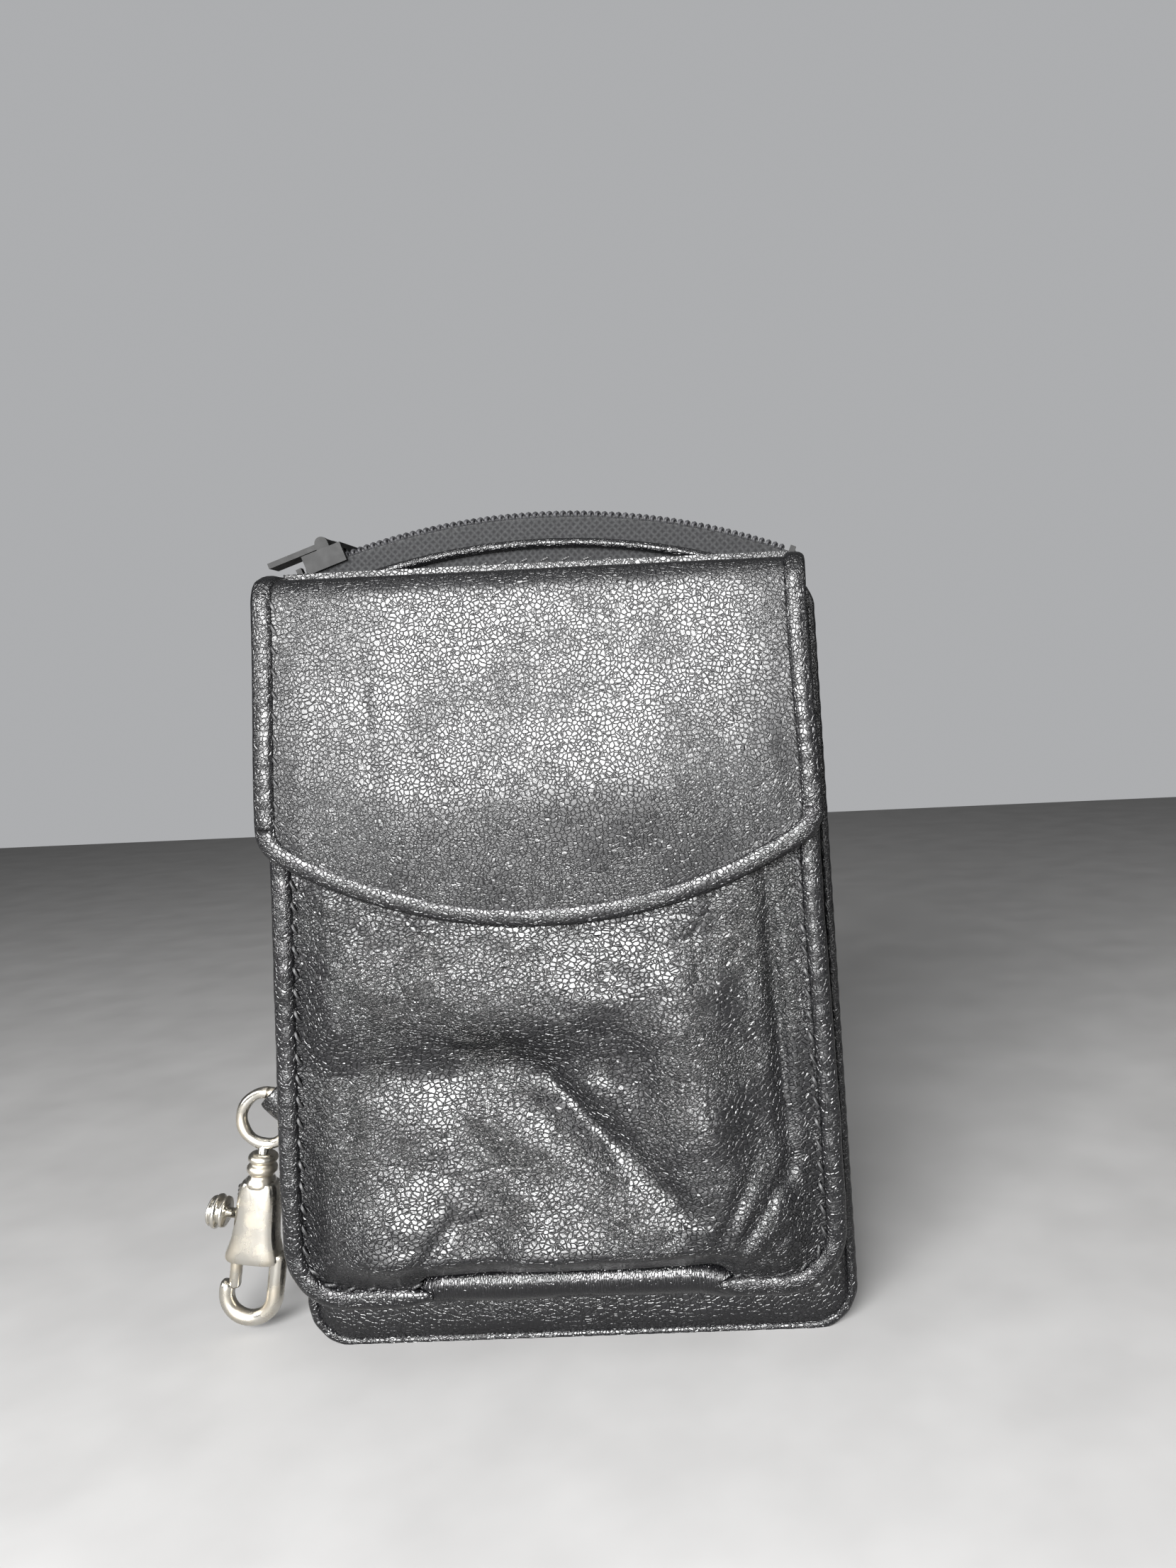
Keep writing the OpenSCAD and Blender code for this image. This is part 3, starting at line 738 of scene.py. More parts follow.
def coil_row(name, low_y, high_y, lean):
    """One row of nylon coil: a flattened loop every pitch, and the cord that holds them."""
    verts, faces = [], []
    pitch, rings, sides = 1.25, 10, 6
    mid_y = (low_y + high_y) / 2
    steps = int(2 * radians(ZIP_A) * ARCH_R / pitch)
    for n in range(steps):
        a0 = radians(90 + ZIP_A) - (n + 0.5) * pitch / ARCH_R
        radial = (cos(a0), sin(a0))
        along = (sin(a0), -cos(a0))
        base = len(verts)
        for i in range(rings):
            c, s = circle(i, rings)
            for j in range(sides):
                c_wire, s_wire = circle(j, sides)
                fat = 0.28 * c_wire
                out_j = 0.55 + 0.46 * c + fat * c
                across_j = 0.42 * s + fat * s
                slide_j = 0.22 * lean * s + 0.34 * s_wire
                verts.append((radial[0] * (ARCH_R + out_j) + along[0] * slide_j, mid_y + across_j,
                              ARCH_Z + radial[1] * (ARCH_R + out_j) + along[1] * slide_j))
        faces += ring_faces(base, rings, sides, True)
    obj = put(name, verts, faces, MAT_COIL)
    fix_normals(obj)
    return obj


settle(coil_row("zip_coil_front_loops", COIL_LOW[1], COIL_HIGH[1], 1), "pouch", "zip_coil", "zip_coil_front")
settle(coil_row("zip_coil_back_loops", COIL_BACK_LOW[1], COIL_BACK_HIGH[1], -1), "pouch", "zip_coil",
       "zip_coil_back")
for cord_name, cord_y in (("zip_cord_front", COIL_LOW[1] + 0.6), ("zip_cord_back", COIL_BACK_LOW[1] + 0.6)):
    def cord_profile(s, total, y=cord_y):
        return oval(0.15, y, 0.3, 0.3, 8)
    settle(sweep(cord_name, tape_path, cord_profile, MAT_TAPE), "pouch", "zip_tape")

# ---- flap pocket
ROLL_LEFT, ROLL_RIGHT = -24.0, 27.0
ROLL_TOP = POCKET_Z + 6.9
SNAP_Z = FLAP_LOW[2] + 16
OVERLAP = 0.8  # how far a panel reaches under the band along its edge
ROW_IN = EDGE_W + 0.35  # stitches inside that band
POCKET_PANEL_HALF = POCKET_HALF - EDGE_W + OVERLAP
FLAP_PANEL_HALF = FLAP_HALF - EDGE_W + OVERLAP


# (height, x, z, width, height) of the pocket's bumps, and (depth, from, to, width) of its folds
POCKET_LUMPS = ((1.6, -6, 65, 32, 9), (2.0, 28, 44, 9, 15), (1.3, 21, 56, 6, 19), (0.6, -38, 66, 7, 9),
                (0.7, 33, 26, 7, 7))
POCKET_HOLLOWS = ((2.0, -12, 54, 20, 6), (0.9, 33, 45, 5, 14), (1.0, -12, 27, 4.5, 9), (0.6, -40, 24, 6, 5))
POCKET_FOLDS = ((1.7, (-8, 57), (19, 31), 3.6), (1.1, (37.6, 88), (38.4, 30), 1.5),
                (0.6, (27, 20), (40, 38), 1.2), (0.5, (24, 19), (33, 38), 1.1),
                (0.45, (30, 19), (42, 29), 1.0), (0.5, (-25, 19), (-17, 30), 1.2),
                (0.4, (-32, 63), (-12, 57), 1.3), (0.4, (-4, 55), (10, 40), 1.2),
                (0.35, (-18, 48), (-6, 36), 1.2))


def bumps(x, z, table):
    return sum(size * bell(x, z, *where) for size, *where in table)


def folds(x, z, table):
    return sum(size * groove(x, z, *where) for size, *where in table)


def pocket_relief(x, z):
    """How far the soft front stands out: a pillow with the dents, folds and creases of slack leather."""
    pillow = 1.5 * (1 - (abs(x) / 46) ** 4) * (1 - (abs(z - 58) / 62) ** 4)
    lift = ease((z - 15.5) / 8.5)
    slump = 4.4 * (1 - (abs(x) / 46) ** 4) * (1 - clamp((z - 23) / 36)) ** 1.5 * lift
    lumps = bumps(x, z, ((1.9 * lift, -30, 23, 13, 14), (1.4 * lift, 2, 21, 16, 12)) + POCKET_LUMPS)
    shaped = lumps - bumps(x, z, POCKET_HOLLOWS) - folds(x, z, POCKET_FOLDS)
    texture = 0.34 * rumple(x, z, 11, 1.0) + 0.13 * rumple(x, z * 1.3, 4, 5.0)
    return pillow + slump + 1.25 * shaped + texture


def pocket_y(x, z):
    """Outer face of the pocket's front panel."""
    side = POCKET_HALF - EDGE_W + 0.6 - abs(x)
    under_flap = 1 - 0.75 * ease((z - FLAP_LOW[2] - 2) / 14)
    calm = ease(side / 7) * under_flap
    over_roll = ease((x - ROLL_LEFT + 4) / 6) * ease((ROLL_RIGHT + 4 - x) / 6)
    turn_under = 1.9 * over_roll * (1 - ease((z - ROLL_TOP + 0.6) / 4.5))
    low_edge = 0.5 * (1 - over_roll) * (1 - ease((z - POCKET_Z - EDGE_W) / 4))
    snap_flat = 1 - bell(x, z, 0, SNAP_Z, 9.5, 9.5)
    return POCKET_Y + 0.55 - pocket_relief(x, z) * calm * snap_flat + turn_under + low_edge


def pocket_panel_low(x):
    over_roll = ease((x - ROLL_LEFT + 3) / 5) * ease((ROLL_RIGHT + 3 - x) / 5)
    rise = round_corner(x, POCKET_PANEL_HALF, POCKET_R - EDGE_W + OVERLAP)
    corner = POCKET_Z + EDGE_W - OVERLAP + rise
    return corner + (ROLL_TOP - OVERLAP - corner) * over_roll if over_roll > 0 else corner


pocket_xs = [u * POCKET_PANEL_HALF for u in spread(150)]
front = columns("pocket_front_skin", pocket_xs, pocket_panel_low, lambda x: POCKET_TOP, 170,
                lambda x, z: (flared(x, z), pocket_y(x, z), z), MAT_POCKET)
skin(front, "pocket_front")
inner_xs = [u * (POCKET_HALF - 3.4) for u in spread(60)]
inner = columns("pocket_lining_cloth", inner_xs, lambda x: pocket_panel_low(x) + 1.0,
                lambda x: POCKET_TOP - 2, 70,
                lambda x, z: (flared(x, z), pocket_y(x, z) + LEATHER_T + 0.35, z), MAT_LINING)
thicken(inner, 0.3)
settle(inner, "pouch", "lining_cloth", "pocket_lining")


def flange(name, side, end_x, tip):
    """The turned edge of the front panel: puffed between its stitches, and ending in a raw tip."""
    path = pocket_side(side, EDGE_W / 2, end_x)

    def profile(s, total):
        puff = 1 + 0.08 * cos(2 * pi * s / STITCH_PITCH) + 0.07 * wobble(s / 5, side, 8)
        end = ease((total - s) / tip)
        y_mid = POCKET_Y + 0.75 + 0.25 * wobble(s / 12, side, 0)
        wide = (EDGE_W / 2 + 0.12) * (0.45 + 0.55 * end)
        return oval(0.12 * wobble(s / 7, side, 3), y_mid, wide, 1.35 * puff * (0.5 + 0.5 * end), 16, 0.85)
    return sweep(name, path, profile, MAT_EDGE)


settle(flange("pocket_edge_left", -1, 23.4, 5.0), "pouch", "black_leather", "pocket_edge")
settle(flange("pocket_edge_right", 1, 26.2, 3.0), "pouch", "black_leather")

pocket_spots = []
for side, end_x in ((-1, 24.0), (1, 28.0)):
    row = pocket_side(side, ROW_IN, end_x, POCKET_TOP - 1)
    pocket_spots += spots_along(row, lambda x, z: POCKET_Y + 0.05, -1)
sewn("pocket_stitch_row", pocket_spots, "pocket_stitches", slant=24)


def roll_path():
    pts = []
    x0, x1 = ROLL_LEFT - 5, ROLL_RIGHT + 8
    for t in shares(80):
        x = x0 + (x1 - x0) * t
        drop = 1.9 * ease((x - ROLL_RIGHT + 6) / 12) + 0.7 * ease((ROLL_LEFT + 4 - x) / 8)
        pts.append((x, POCKET_Z + 3.1 - drop, 0.0, -1.0))
    return pts


def roll_profile(s, total):
    end = ease(s / 7) * ease((total - s) / 9)
    swell = 1 + 0.07 * wobble(s / 13, 0, 9) + 0.03 * wobble(s / 3, 0, 2)
    wide, deep = 3.5 * swell * (0.55 + 0.45 * end), 4.1 * swell * (0.6 + 0.4 * end)
    return oval(0.3, POCKET_Y + 4.3, wide, deep, 28, 0.95)


roll = sweep("pocket_roll_skin", roll_path(), roll_profile, MAT_ROLL)
smooth_more(roll)
settle(roll, "pouch", "black_leather", "pocket_roll")


def pocket_wall_profile(s, total):
    pts = []
    front_y, rear_y = POCKET_Y + 1.3, POCKET_BACK_LOW[1] + 0.5
    for t in shares(14):
        swell = sin(pi * t)
        sag = 1.5 * swell + 0.55 * wobble(s / 14, t * 3, 1) * swell
        pts.append((-0.35 - sag, front_y + (rear_y - front_y) * t))
    return pts


wall_path = joined(pocket_side(-1, 0.0, 0.5), list(reversed(pocket_side(1, 0.0, 0.5))))
wall = sweep("pocket_gusset_skin", wall_path, pocket_wall_profile, MAT_BACK, ring=False)
skin(wall, "pocket_gusset", offset=1.0)

rear_half = POCKET_BACK_HIGH[0] - 0.4
rear_y = POCKET_BACK_LOW[1]
rear = columns("pocket_back_skin", [u * rear_half for u in spread(60)],
               lambda x: POCKET_Z + 0.4 + round_corner(x, rear_half, POCKET_R), lambda x: FOLD_TOP - 1.2, 70,
               lambda x, z: (x, rear_y + 0.12 * rumple(x, z, 14, 6.0), z), MAT_FLAP)
skin(rear, "pocket_back")

# ---- flap
FOLD_MID_Y = (FOLD_LOW[1] + FOLD_HIGH[1]) / 2
FRONT_FOLD = [(y, FOLD_TOP + rise) for y, rise in (
    (FOLD_MID_Y, 0.3), (-14.6, 0.3), (-16.6, 0.1), (-18.3, -0.5), (-19.5, -1.7), (-20.2, -3.5),
    (-20.55, -6.5),
    (-20.8, -12), (-21.05, -24), (-21.1, -38), (-20.8, -50))] + [(-20.4, FLAP_LOW[2] - 1)]
REAR_FOLD = [(y, FOLD_TOP + rise) for y, rise in (
    (-5.3, -5), (-5.35, -3), (-5.6, -1.6), (-6.3, -0.5), (-7.6, 0.15), (-9.6, 0.3), (FOLD_MID_Y, 0.3))]
SKIN_SINK = 0.25  # the flap's skin lies this far under its edge band


def between(p0, p1, p2, p3, t):
    """Value at share t from p1 to p2 on a smooth curve (Catmull-Rom)."""
    return 0.5 * (2 * p1 + (p2 - p0) * t + (2 * p0 - 5 * p1 + 4 * p2 - p3) * t * t
                  + (3 * p1 - p0 - 3 * p2 + p3) * t ** 3)


def dense(profile, step):
    """Points and outward normals along a smooth curve through a (y, z) profile."""
    pts = []
    last = len(profile) - 1
    for i in range(last):
        near = profile[max(i - 1, 0)], profile[i], profile[i + 1], profile[min(i + 2, last)]
        count = max(1, round(hypot(near[2][0] - near[1][0], near[2][1] - near[1][1]) / step))
        for k in range(count):
            pts.append(tuple(between(*values, k / count) for values in zip(*near)))
    pts.append(profile[last])
    out = []
    for i, p in enumerate(pts):
        a, b = pts[max(i - 1, 0)], pts[min(i + 1, len(pts) - 1)]
        dy, dz = b[0] - a[0], b[1] - a[1]
        length = hypot(dy, dz)
        out.append((p[0], p[1], dz / length, -dy / length))
    return out


FRONT = dense(FRONT_FOLD, 0.25)
FRONT_W = [0.0]
for here, there in zip(FRONT, FRONT[1:]):
    FRONT_W.append(FRONT_W[-1] + hypot(there[0] - here[0], there[1] - here[1]))


def flap_at(w):
    """(y, z, normal y, normal z) of the flap's outer face at distance w from the middle of the fold."""
    return at_distance(FRONT, FRONT_W, clamp(w, 0, FRONT_W[-1]))


def flap_w_of(z):
    """Distance from the middle of the fold at which the front of the flap reaches height z."""
    lo, hi = 0.0, FRONT_W[-1]
    while hi - lo > 0.01:
        mid = (lo + hi) / 2
        lo, hi = (mid, hi) if flap_at(mid)[1] > z else (lo, mid)
    return lo


def flap_low(x, inset):
    """Height of the flap's curved edge at x, moved in by inset."""
    bend = (FLAP_CURVE_R - FLAP_R) * sin(radians(FLAP_A))
    if abs(x) <= bend * (FLAP_CURVE_R - inset) / (FLAP_CURVE_R - FLAP_R):
        return FLAP_ARC_Z - sqrt((FLAP_CURVE_R - inset) ** 2 - x * x)
    over = abs(x) - (FLAP_HALF - FLAP_R)
    return FLAP_CORNER_Z - sqrt(max(0.0, (FLAP_R - inset) ** 2 - over * over))


def flap_relief(x, z):
    """Gentle waves of the flap: a little fuller in the middle and pressed in over the snap."""
    waves = 0.42 * rumple(x, z, 34, 12.0) + 0.10 * rumple(x, z, 9, 14.0)
    waves += bumps(x, z, ((0.5, 14, 112, 26, 14), (-0.35, -22, 118, 14, 12), (1.5, 2, 99, 40, 15)))
    dimple = 0.35 * bell(x, z, 0, SNAP_Z, 8.5, 8.5)
    crease = folds(x, z, ((0.16, (-30, 131), (-27, 104), 1.0), (0.14, (6, 128), (10, 98), 1.1)))
    return waves - dimple - crease


def flap_wide(z):
    """Share of the flap's width at height z: drawn in a little where it turns over."""
    return 1.008 - 0.030 * ease((z - 92) / 42)


def flap_point(x, w, sink=0.0):
    y, z, ny, nz = flap_at(w)
    calm = ease((FLAP_HALF - EDGE_W + 1 - abs(x)) / 6) * ease(w / 12)
    out = flap_relief(x, z) * calm - sink
    return (x * flap_wide(z), y + ny * out, z + nz * out)


def flap_sheet(name, half, inset, sink, nx, nw, material):
    rows = []
    for u in spread(nx):
        x = u * half
        end = flap_w_of(flap_low(x, inset))
        rows.append([flap_point(x, end * (1 - (1 - j / nw) ** 1.15), sink) for j in range(nw + 1)])
    rows.reverse()
    return grid(name, rows, material)


def with_flap(obj, slot_name, *nodes):
    """A piece of the flap: its transform is baked into its mesh, and it stands for CAD nodes."""
    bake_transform(obj)
    dress(obj, nodes)


def with_fold(obj, slot_name, *nodes):
    """A piece of the fold's rear half: its transform is baked into its mesh, and it stands for CAD nodes."""
    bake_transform(obj)
    dress(obj, nodes)


flap_skin = flap_sheet("flap_leather_skin", FLAP_PANEL_HALF, EDGE_W - OVERLAP, SKIN_SINK, 150, 130, MAT_FLAP)
thicken(flap_skin, LEATHER_T)
with_flap(flap_skin, "black_leather", "flap_leather")
flap_inside = flap_sheet("flap_lining_cloth", FLAP_HALF - 2.0, 2.0, 1.75, 50, 50, MAT_LINING)
thicken(flap_inside, 0.25)
with_flap(flap_inside, "lining_cloth", "flap_lining")

REAR = dense(REAR_FOLD, 0.3)
rear_rows = [[(u * FLAP_PANEL_HALF * flap_wide(FOLD_TOP), y - SKIN_SINK * ny, z - SKIN_SINK * nz)
              for y, z, ny, nz in REAR] for u in spread(110)]
fold_skin = grid("flap_fold_skin", rear_rows, MAT_FLAP)
thicken(fold_skin, LEATHER_T)
with_fold(fold_skin, "black_leather", "flap_fold")


def band(name, frames, profile, material):
    """A closed band: frames are (point, out, up) and profile(i, count) gives (out, up) pairs."""
    rows = []
    for i, (p, out, up) in enumerate(frames):
        rows.append([tuple(p[c] + a * out[c] + b * up[c] for c in range(3))
                     for a, b in profile(i, len(frames))])
    return grid(name, rows, material, ring=True, cap=True)


def edge_frames(inset):
    """Frames along the flap's edge: down the left from the fold, round the curve and up the right."""
    x = FLAP_HALF - inset
    side_end = flap_w_of(FLAP_CORNER_Z)
    count = round(side_end / 0.5)
    left = []
    for i in range(count + 1):
        y, z, ny, nz = flap_at(side_end * i / count)
        left.append(((-x * flap_wide(z), y, z), (-1, 0, 0), (0, ny, nz)))
    low = []
    for px, pz, nx, nz in flap_rim(inset, FLAP_CORNER_Z + 0.1)[1:-1]:
        y = flap_at(flap_w_of(pz))[0]
        low.append(((px * flap_wide(pz), y, pz), (nx, 0, nz), (0, -1, 0)))
    right = [((-p[0], p[1], p[2]), (1, 0, 0), up) for p, _, up in reversed(left)]
    return left + low + right


def edge_profile(i, count):
    puff = 1 + 0.05 * cos(2 * pi * i * 0.55 / STITCH_PITCH) + 0.08 * wobble(i / 11, 0, 5)
    return oval(0.0, -0.75, EDGE_W / 2 + 0.15, 1.25 * puff, 18, 0.8)


edge = band("flap_edge_roll", edge_frames(EDGE_W / 2), edge_profile, MAT_EDGE)
with_flap(edge, "black_leather", "flap_edge")
for side, end_name in ((-1, "flap_fold_edge_left"), (1, "flap_fold_edge_right")):
    frames = [((side * (FLAP_HALF - EDGE_W / 2) * flap_wide(FOLD_TOP), y, z), (side, 0, 0), (0, ny, nz))
              for y, z, ny, nz in REAR]
    with_fold(band(end_name, frames, edge_profile, MAT_EDGE), "black_leather")

flap_row = [(x * flap_wide(z), z, nx, nz) for x, z, nx, nz in flap_rim(ROW_IN, FOLD_TOP - 4.5)]
flap_spots = spots_along(flap_row, lambda x, z: flap_at(flap_w_of(z))[0] + 0.12, -1, 0.5, 0.5)
with_flap(stitch_row("flap_stitch_row", flap_spots, 26), "thread", "flap_stitches")

# ---- belt loop
LOOP_W = LOOP_HIGH[0]
LOOP_Z0, LOOP_Z1 = LOOP_LOW[2], LOOP_HIGH[2]
SEAM_H = 6.0
LOOP_OUT = LOOP_HIGH[1] - BACK_Y


def loop_line(out, wave):
    """(x, z) to the outer face of a layer: flat on its two seams and arched between them."""
    def face(x, z):
        t = clamp((z - LOOP_Z0 - SEAM_H) / (LOOP_Z1 - LOOP_Z0 - 2 * SEAM_H))
        arch = (LOOP_OUT - 2.6) * (1 - abs(2 * t - 1) ** 2.6)
        fork = wave * ease((t - 0.62) / 0.3) * ease((1.02 - t) / 0.12) * ease((abs(x) - LOOP_W + 12) / 12)
        ripple = 0.16 * rumple(x, z, 16, 20 + out) * ease(t * 6) * ease((1 - t) * 6)
        return BACK_Y + out + arch + fork + ripple
    return face


def loop_layer(name, out, wave, material, rim_material):
    face = loop_line(out, wave)
    rows = []
    nx, nz = 90, 70
    for i in range(nx + 1):
        row = []
        for j in range(nz + 1):
            z = LOOP_Z0 + (LOOP_Z1 - LOOP_Z0) * j / nz
            x = LOOP_W * (2 * i / nx - 1)
            x += 0.35 * wobble(z / 9, out, i // nx) * abs(x / LOOP_W) ** 8
            row.append((x, face(x, z), z))
        rows.append(row)
    rows.reverse()
    layer = grid(name, rows, material)
    layer.data.materials.append(rim_material)
    thicken(layer, LEATHER_T)
    layer.modifiers["thickness"].material_offset_rim = 1
    return layer


settle(loop_layer("belt_loop_strap", 2.5, 0.7, MAT_BACK, MAT_RAW), "pouch", "black_leather", "belt_loop")
settle(loop_layer("belt_loop_backing_strap", 1.2, -0.5, MAT_RAW, MAT_RAW), "pouch", "raw_leather",
       "belt_loop_backing")
loop_spots = []
for z in (LOOP_Z0 + 1.8, LOOP_Z0 + SEAM_H - 0.6, LOOP_Z1 - SEAM_H + 0.6, LOOP_Z1 - 1.8):
    path = line_points(-LOOP_W + 3, z, LOOP_W - 3, z)
    loop_spots += spots_along(path, lambda x, zz: loop_line(2.5, 0.7)(x, zz) + 0.12, 1)
sewn("belt_loop_stitch_rows", loop_spots, "belt_loop_stitches")

# ---- linings
for lining_name, y_face, turn in (("middle_lining_cloth", SEAM_Y + LEATHER_T + 0.35, 1),
                                  ("back_lining_cloth", BACK_Y - LEATHER_T - 0.35, -1)):
    def lining_y(x, z, edge, from_top, y=y_face, seed=y_face):
        return y + 0.12 * rumple(x, z, 14, seed) + (lean_back(x, z) if y < 0 else 0)
    cloth = compartment_panel(lining_name, lining_y, MAT_LINING, turn)
    thicken(cloth, 0.25)
    settle(cloth, "pouch", "lining_cloth", "middle_lining" if turn > 0 else "back_lining")

# ---- metal parts kept from the frame
for node_name in ("zip_slider", "zip_pull", "zip_end_stops", "snap_socket", "snap_socket_washer", "snap_stud",
                  "snap_stud_washer"):
    part = frame["nodes"][node_name]
    part.data.materials.clear()
    part.data.materials.append(MAT_ENAMEL if node_name.startswith("zip") else MAT_SNAP)
    round_edges(part, 0.45 if node_name == "zip_slider" else 0.22, 3, 32)
    part.modifiers.new("even shading", "WEIGHTED_NORMAL").keep_sharp = False

# ---- clasp
EYE = Vector(JOINT["hook_swivel"]["pos_m"]) / MM
HOOK_UP = Vector(JOINT["hook_swivel"]["axis"]).normalized()
HOOK_ACROSS = Vector((HOOK_UP.z, 0, -HOOK_UP.x))
RING_R, RING_WIRE = 4.9, 1.05
BEND_R, BEND_S = 4.6, 33.8
GATE_X, GATE_TOP, GATE_END, LEVER_S = -3.2, 17.7, 32.9, 18.7


def on_hook(x, s, y=0.0):
    """A point of the hook: x across, s down from the centre of its ring, y back."""
    p = EYE + HOOK_ACROSS * x - HOOK_UP * s
    return (p.x, p.y + y, p.z)


def lathe(name, centre, axis, side, profile, sides=28):
    """A turned part: profile gives (distance along axis, radius) pairs."""
    other = axis.cross(side)
    rows = []
    for along, r in profile:
        base = centre + axis * along
        spokes = [circle(k, sides) for k in range(sides)]
        rows.append([tuple(base + (side * c + other * s) * r) for c, s in spokes])
    return grid(name, rows, MAT_NICKEL, ring=True, cap=True)


def tube(name, points, radius, sides=16):
    """A round bar through points in the hook's own plane."""
    rows = []
    for i, (x, s) in enumerate(points):
        a, b = points[max(i - 1, 0)], points[min(i + 1, len(points) - 1)]
        length = hypot(b[0] - a[0], b[1] - a[1])
        nx, ns = -(b[1] - a[1]) / length, (b[0] - a[0]) / length
        r = radius(i / (len(points) - 1))
        row = []
        for k in range(sides):
            c_k, s_k = circle(k, sides)
            row.append(on_hook(x + nx * r * c_k, s + ns * r * c_k, r * s_k))
        rows.append(row)
    return grid(name, rows, MAT_NICKEL, ring=True, cap=True)


ring_points = [(RING_R * 0.97 * s, -RING_R * c) for c, s in (circle(i, 72) for i in range(73))]
ring = tube("clasp_ring", ring_points, lambda t: RING_WIRE * (1 + 0.05 * sin(40 * t)))
settle(ring, "clasp_eye", "clasp_nickel", "clasp_eye")
pin = lathe("clasp_ring_pin", EYE, -HOOK_UP, HOOK_ACROSS,
            [(RING_R - 0.4, 0.5), (RING_R, 1.05), (RING_R + 3.6, 1.05), (9.5, 1.05), (9.6, 1.7),
             (10.6, 1.7), (10.9, 1.2)])
settle(pin, "clasp_eye", "clasp_nickel")

neck = lathe("clasp_neck", EYE, -HOOK_UP, HOOK_ACROSS,
             [(6.5, 1.35), (6.55, 2.0), (6.9, 2.55), (7.5, 2.75), (7.9, 2.6), (8.1, 2.15), (8.5, 2.1),
              (8.75, 2.5),
              (9.2, 2.8), (9.8, 2.8), (10.2, 2.5), (10.4, 2.1), (10.9, 2.1), (11.2, 2.6), (12.6, 3.1),
              (13.0, 2.4)])
smooth_more(neck)
settle(neck, "clasp_hook", "clasp_nickel")

BARREL = [(11.6, 2.3, 2.0), (12.0, 3.1, 2.35), (12.8, 3.5, 2.5), (15, 3.75, 2.6), (18, 3.9, 2.65),
          (21, 4.05, 2.7),
          (23, 4.3, 2.75), (24.6, 4.75, 2.8), (25.8, 5.1, 2.8), (26.6, 5.15, 2.75), (27.1, 4.9, 2.6),
          (27.3, 4.2, 2.2)]
barrel_rows = []
for s, half_x, half_y in BARREL:
    barrel_rows.append([on_hook(x, s, y) for x, y in oval(0, 0, half_x, half_y, 40, 0.62)])
barrel = grid("clasp_barrel", barrel_rows, MAT_NICKEL, ring=True, cap=True)
slot_low, slot_high = Vector((-9, -1.3, -29)), Vector((-1.95, 1.3, -13.2))
corners = [on_hook(x, -s, y) for x in (slot_low.x, slot_high.x) for y in (slot_low.y, slot_high.y)
           for s in (slot_low.z, slot_high.z)]
cutter = put("slot_cutter", corners, [(0, 1, 3, 2), (4, 6, 7, 5), (0, 4, 5, 1), (2, 3, 7, 6), (0, 2, 6, 4),
                                      (1, 5, 7, 3)],
             MAT_NICKEL)
fix_normals(cutter)
cut = barrel.modifiers.new("slot", "BOOLEAN")
cut.object = cutter
cut.operation = "DIFFERENCE"
bpy.context.view_layer.update()
slotted = bpy.data.meshes.new_from_object(barrel.evaluated_get(bpy.context.evaluated_depsgraph_get()))
barrel.modifiers.clear()
barrel.data = slotted
bpy.data.objects.remove(cutter)
round_edges(barrel, 0.15, 2, 35)
settle(barrel, "clasp_hook", "clasp_nickel", "clasp_hook")

hook_points = [(BEND_R, 25.5 + (BEND_S - 25.5) * i / 12) for i in range(12)]
hook_points += [(BEND_R * cos(pi * i / 36), BEND_S + BEND_R * sin(pi * i / 36)) for i in range(37)]
hook_points += [(-BEND_R, BEND_S - 0.55 * i) for i in range(1, 4)]
hook_points += [(-BEND_R + 0.05, BEND_S - 1.95), (-BEND_R + 0.1, BEND_S - 2.05)]


def hook_radius(t):
    tip = 1.0 if t < 0.93 else sqrt(max(0.06, 1 - ((t - 0.93) / 0.07) ** 2))
    return (1.62 - 0.25 * t) * tip


settle(tube("clasp_bend", hook_points, hook_radius), "clasp_hook", "clasp_nickel")

gate = lathe("clasp_gate_bar", Vector(on_hook(GATE_X, 0)), -HOOK_UP, HOOK_ACROSS,
             [(GATE_TOP, 0.7), (GATE_TOP + 0.2, 1.0), (GATE_TOP + 0.5, 1.08), (26, 1.08),
              (GATE_END - 0.7, 1.08),
              (GATE_END - 0.25, 0.95), (GATE_END, 0.6)], 20)
settle(gate, "clasp_gate", "clasp_nickel", "clasp_gate")
knob = lathe("clasp_gate_knob", Vector(on_hook(0, LEVER_S)), -HOOK_ACROSS, HOOK_UP,
             [(3.2, 0.9), (5.6, 0.9), (5.75, 2.3), (5.95, 2.75), (6.3, 2.85), (6.6, 2.6), (6.75, 2.2),
              (6.95, 2.3),
              (7.1, 2.9), (7.4, 3.15), (7.8, 3.1), (8.0, 2.6), (8.15, 2.3), (8.35, 2.5), (8.55, 2.75),
              (8.8, 2.6),
              (8.9, 2.1), (8.95, 0.8)])
settle(knob, "clasp_gate", "clasp_nickel")

SPRING_TOP, SPRING_LOW, SPRING_R, SPRING_WIRE, TURNS, STEPS = 13.0, 17.4, 0.8, 0.17, 6, 16
spring_rows = []
for i in range(TURNS * STEPS + 1):
    c_turn, s_turn = circle(i, STEPS)
    s = SPRING_TOP + (SPRING_LOW - SPRING_TOP) * i / (TURNS * STEPS)
    row = []
    for k in range(8):
        c_wire, s_wire = circle(k, 8)
        r = SPRING_R + SPRING_WIRE * c_wire
        row.append(on_hook(GATE_X + r * c_turn, s + SPRING_WIRE * s_wire, r * s_turn))
    spring_rows.append(row)
spring = grid("clasp_spring_coil", spring_rows, MAT_SNAP, ring=True, cap=True)
settle(spring, "clasp_hook", "spring_steel", "clasp_spring")
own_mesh(spring)

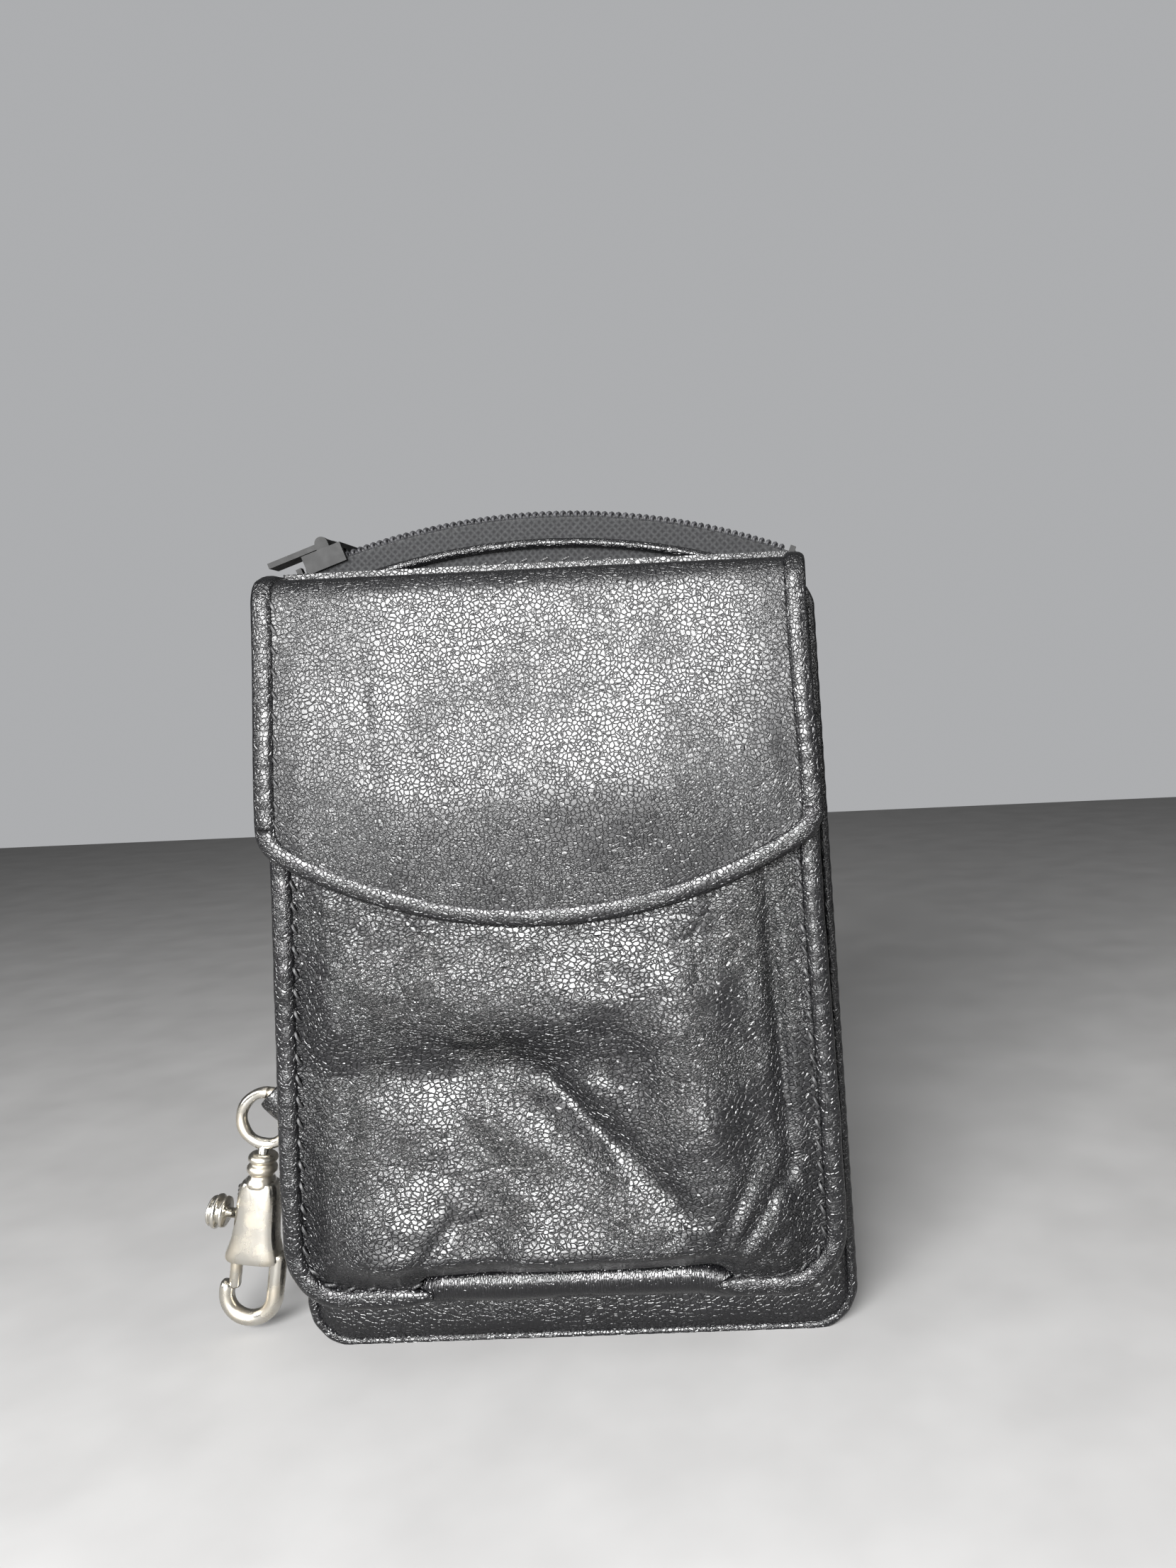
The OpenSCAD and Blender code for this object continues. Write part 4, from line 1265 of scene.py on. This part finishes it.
TAB_AT = Vector(JOINT["eye_swing"]["pos_m"]) / MM
SLANT = radians(45)
TAB_WAY = Vector((sin(SLANT), 0, cos(SLANT)))
TAB_WIDE = Vector((cos(SLANT), 0, -sin(SLANT)))
TAB_SAG, TAB_R = 0.7, 2.35
half_tab = [(7.6, -0.62), (5.2, -0.64), (3.4, -0.95), (1.7, -1.75), (0.3, -2.2), (-TAB_SAG, -TAB_R),
            (-TAB_SAG - 1.7, -1.65)]
tab_line = dense(half_tab + [(-TAB_SAG - TAB_R, 0.0)] + [(a, -b) for a, b in reversed(half_tab)], 0.4)
tab_frames = []
for along, y, n_along, n_y in tab_line:
    p = TAB_AT + TAB_WAY * along
    up = TAB_WAY * n_along
    tab_frames.append(((p.x, p.y + y, p.z), tuple(TAB_WIDE), (up.x, n_y, up.z)))
tab = band("clasp_tab_strap", tab_frames, lambda i, count: oval(0, 0, 2.45, 0.5, 16, 0.6), MAT_EDGE)
settle(tab, "pouch", "black_leather", "clasp_tab")

# ---- floor, light and camera
FLOOR_HALF = 900
WORLD_LIGHT, WORLD_SEEN = 0.13, 0.52  # strength as a light, and as the background that the camera sees
floor_corners = [(x * FLOOR_HALF, y * FLOOR_HALF, 0) for x, y in ((-1, -1), (1, -1), (1, 1), (-1, 1))]
pale_floor = coated("pale_floor", (0.22, 0.218, 0.216), (0.245, 0.243, 0.241), rough=(0.6, 0.75), scale=40.0)
put("floor", floor_corners, [(0, 1, 2, 3)], pale_floor, False)

world = bpy.data.worlds.new("studio")
bpy.context.scene.world = world
world.use_nodes = True
sky = world.node_tree
sky.nodes["Background"].inputs["Color"].default_value = (0.80, 0.81, 0.83, 1)
ray = sky.nodes.new("ShaderNodeLightPath")
brightness = node(sky, "ShaderNodeMapRange",
                  {"Value": ray.outputs["Is Camera Ray"], "To Min": WORLD_LIGHT, "To Max": WORLD_SEEN})
sky.links.new(brightness.outputs["Result"], sky.nodes["Background"].inputs["Strength"])

TARGET = Vector((8.8, -21.1, 102.7))
STANDS_AT = (10, 4)
LOOKS_FROM = (1, 2)
CAMERA_ROLL = radians(2.6)
DISTANCE = 196.0
LENS, SENSOR = 26.6, 36


def area_light(name, place, aim, size, power):
    data = bpy.data.lights.new(name, "AREA")
    data.shape = "RECTANGLE"
    data.size, data.size_y = size[0] * MM, size[1] * MM
    data.energy = power
    lamp = bpy.data.objects.new(name, data)
    bpy.context.collection.objects.link(lamp)
    lamp.location = Vector(place) * MM
    lamp.visible_camera = False
    lamp.rotation_euler = (Vector(aim) - Vector(place)).to_track_quat("-Z", "Y").to_euler()


area_light("key", (-97, -500, 222), (0, -20, 80), (315, 330), 18.5)
area_light("overhead", (0, -150, 1500), (0, 0, 0), (1500, 1500), 7.0)
area_light("fill_left", (-420, -200, 220), (0, -20, 80), (160, 300), 0.9)
area_light("rim_right", (330, -160, 260), (20, 0, 90), (100, 240), 0.8)
bpy.context.scene.view_settings.view_transform = "Standard"


def towards(azimuth, elevation):
    """Unit vector from the object towards a camera at that azimuth and elevation."""
    az, el = radians(azimuth), radians(elevation)
    return Vector((sin(az) * cos(el), -cos(az) * cos(el), sin(el)))


place = TARGET + towards(*STANDS_AT) * DISTANCE
away = towards(*LOOKS_FROM)
right = Vector((-away.y, away.x, 0)).normalized()
upward = away.cross(right)
tilted_up = upward * cos(CAMERA_ROLL) + right * sin(CAMERA_ROLL)
tilted_right = tilted_up.cross(away)
camera_data = bpy.data.cameras.new("camera")
camera_data.lens, camera_data.sensor_width = LENS, SENSOR
camera_data.clip_start = 0.005
to_target = TARGET - place
depth = -to_target.dot(away)
camera_data.shift_x = to_target.dot(tilted_right) / depth * camera_data.lens / camera_data.sensor_width
camera_data.shift_y = to_target.dot(tilted_up) / depth * camera_data.lens / camera_data.sensor_width
camera = bpy.data.objects.new("camera", camera_data)
bpy.context.collection.objects.link(camera)
turned = Matrix((tilted_right, tilted_up, away)).transposed().to_4x4()
camera.matrix_world = Matrix.Translation(place * MM) @ turned
bpy.context.scene.camera = camera
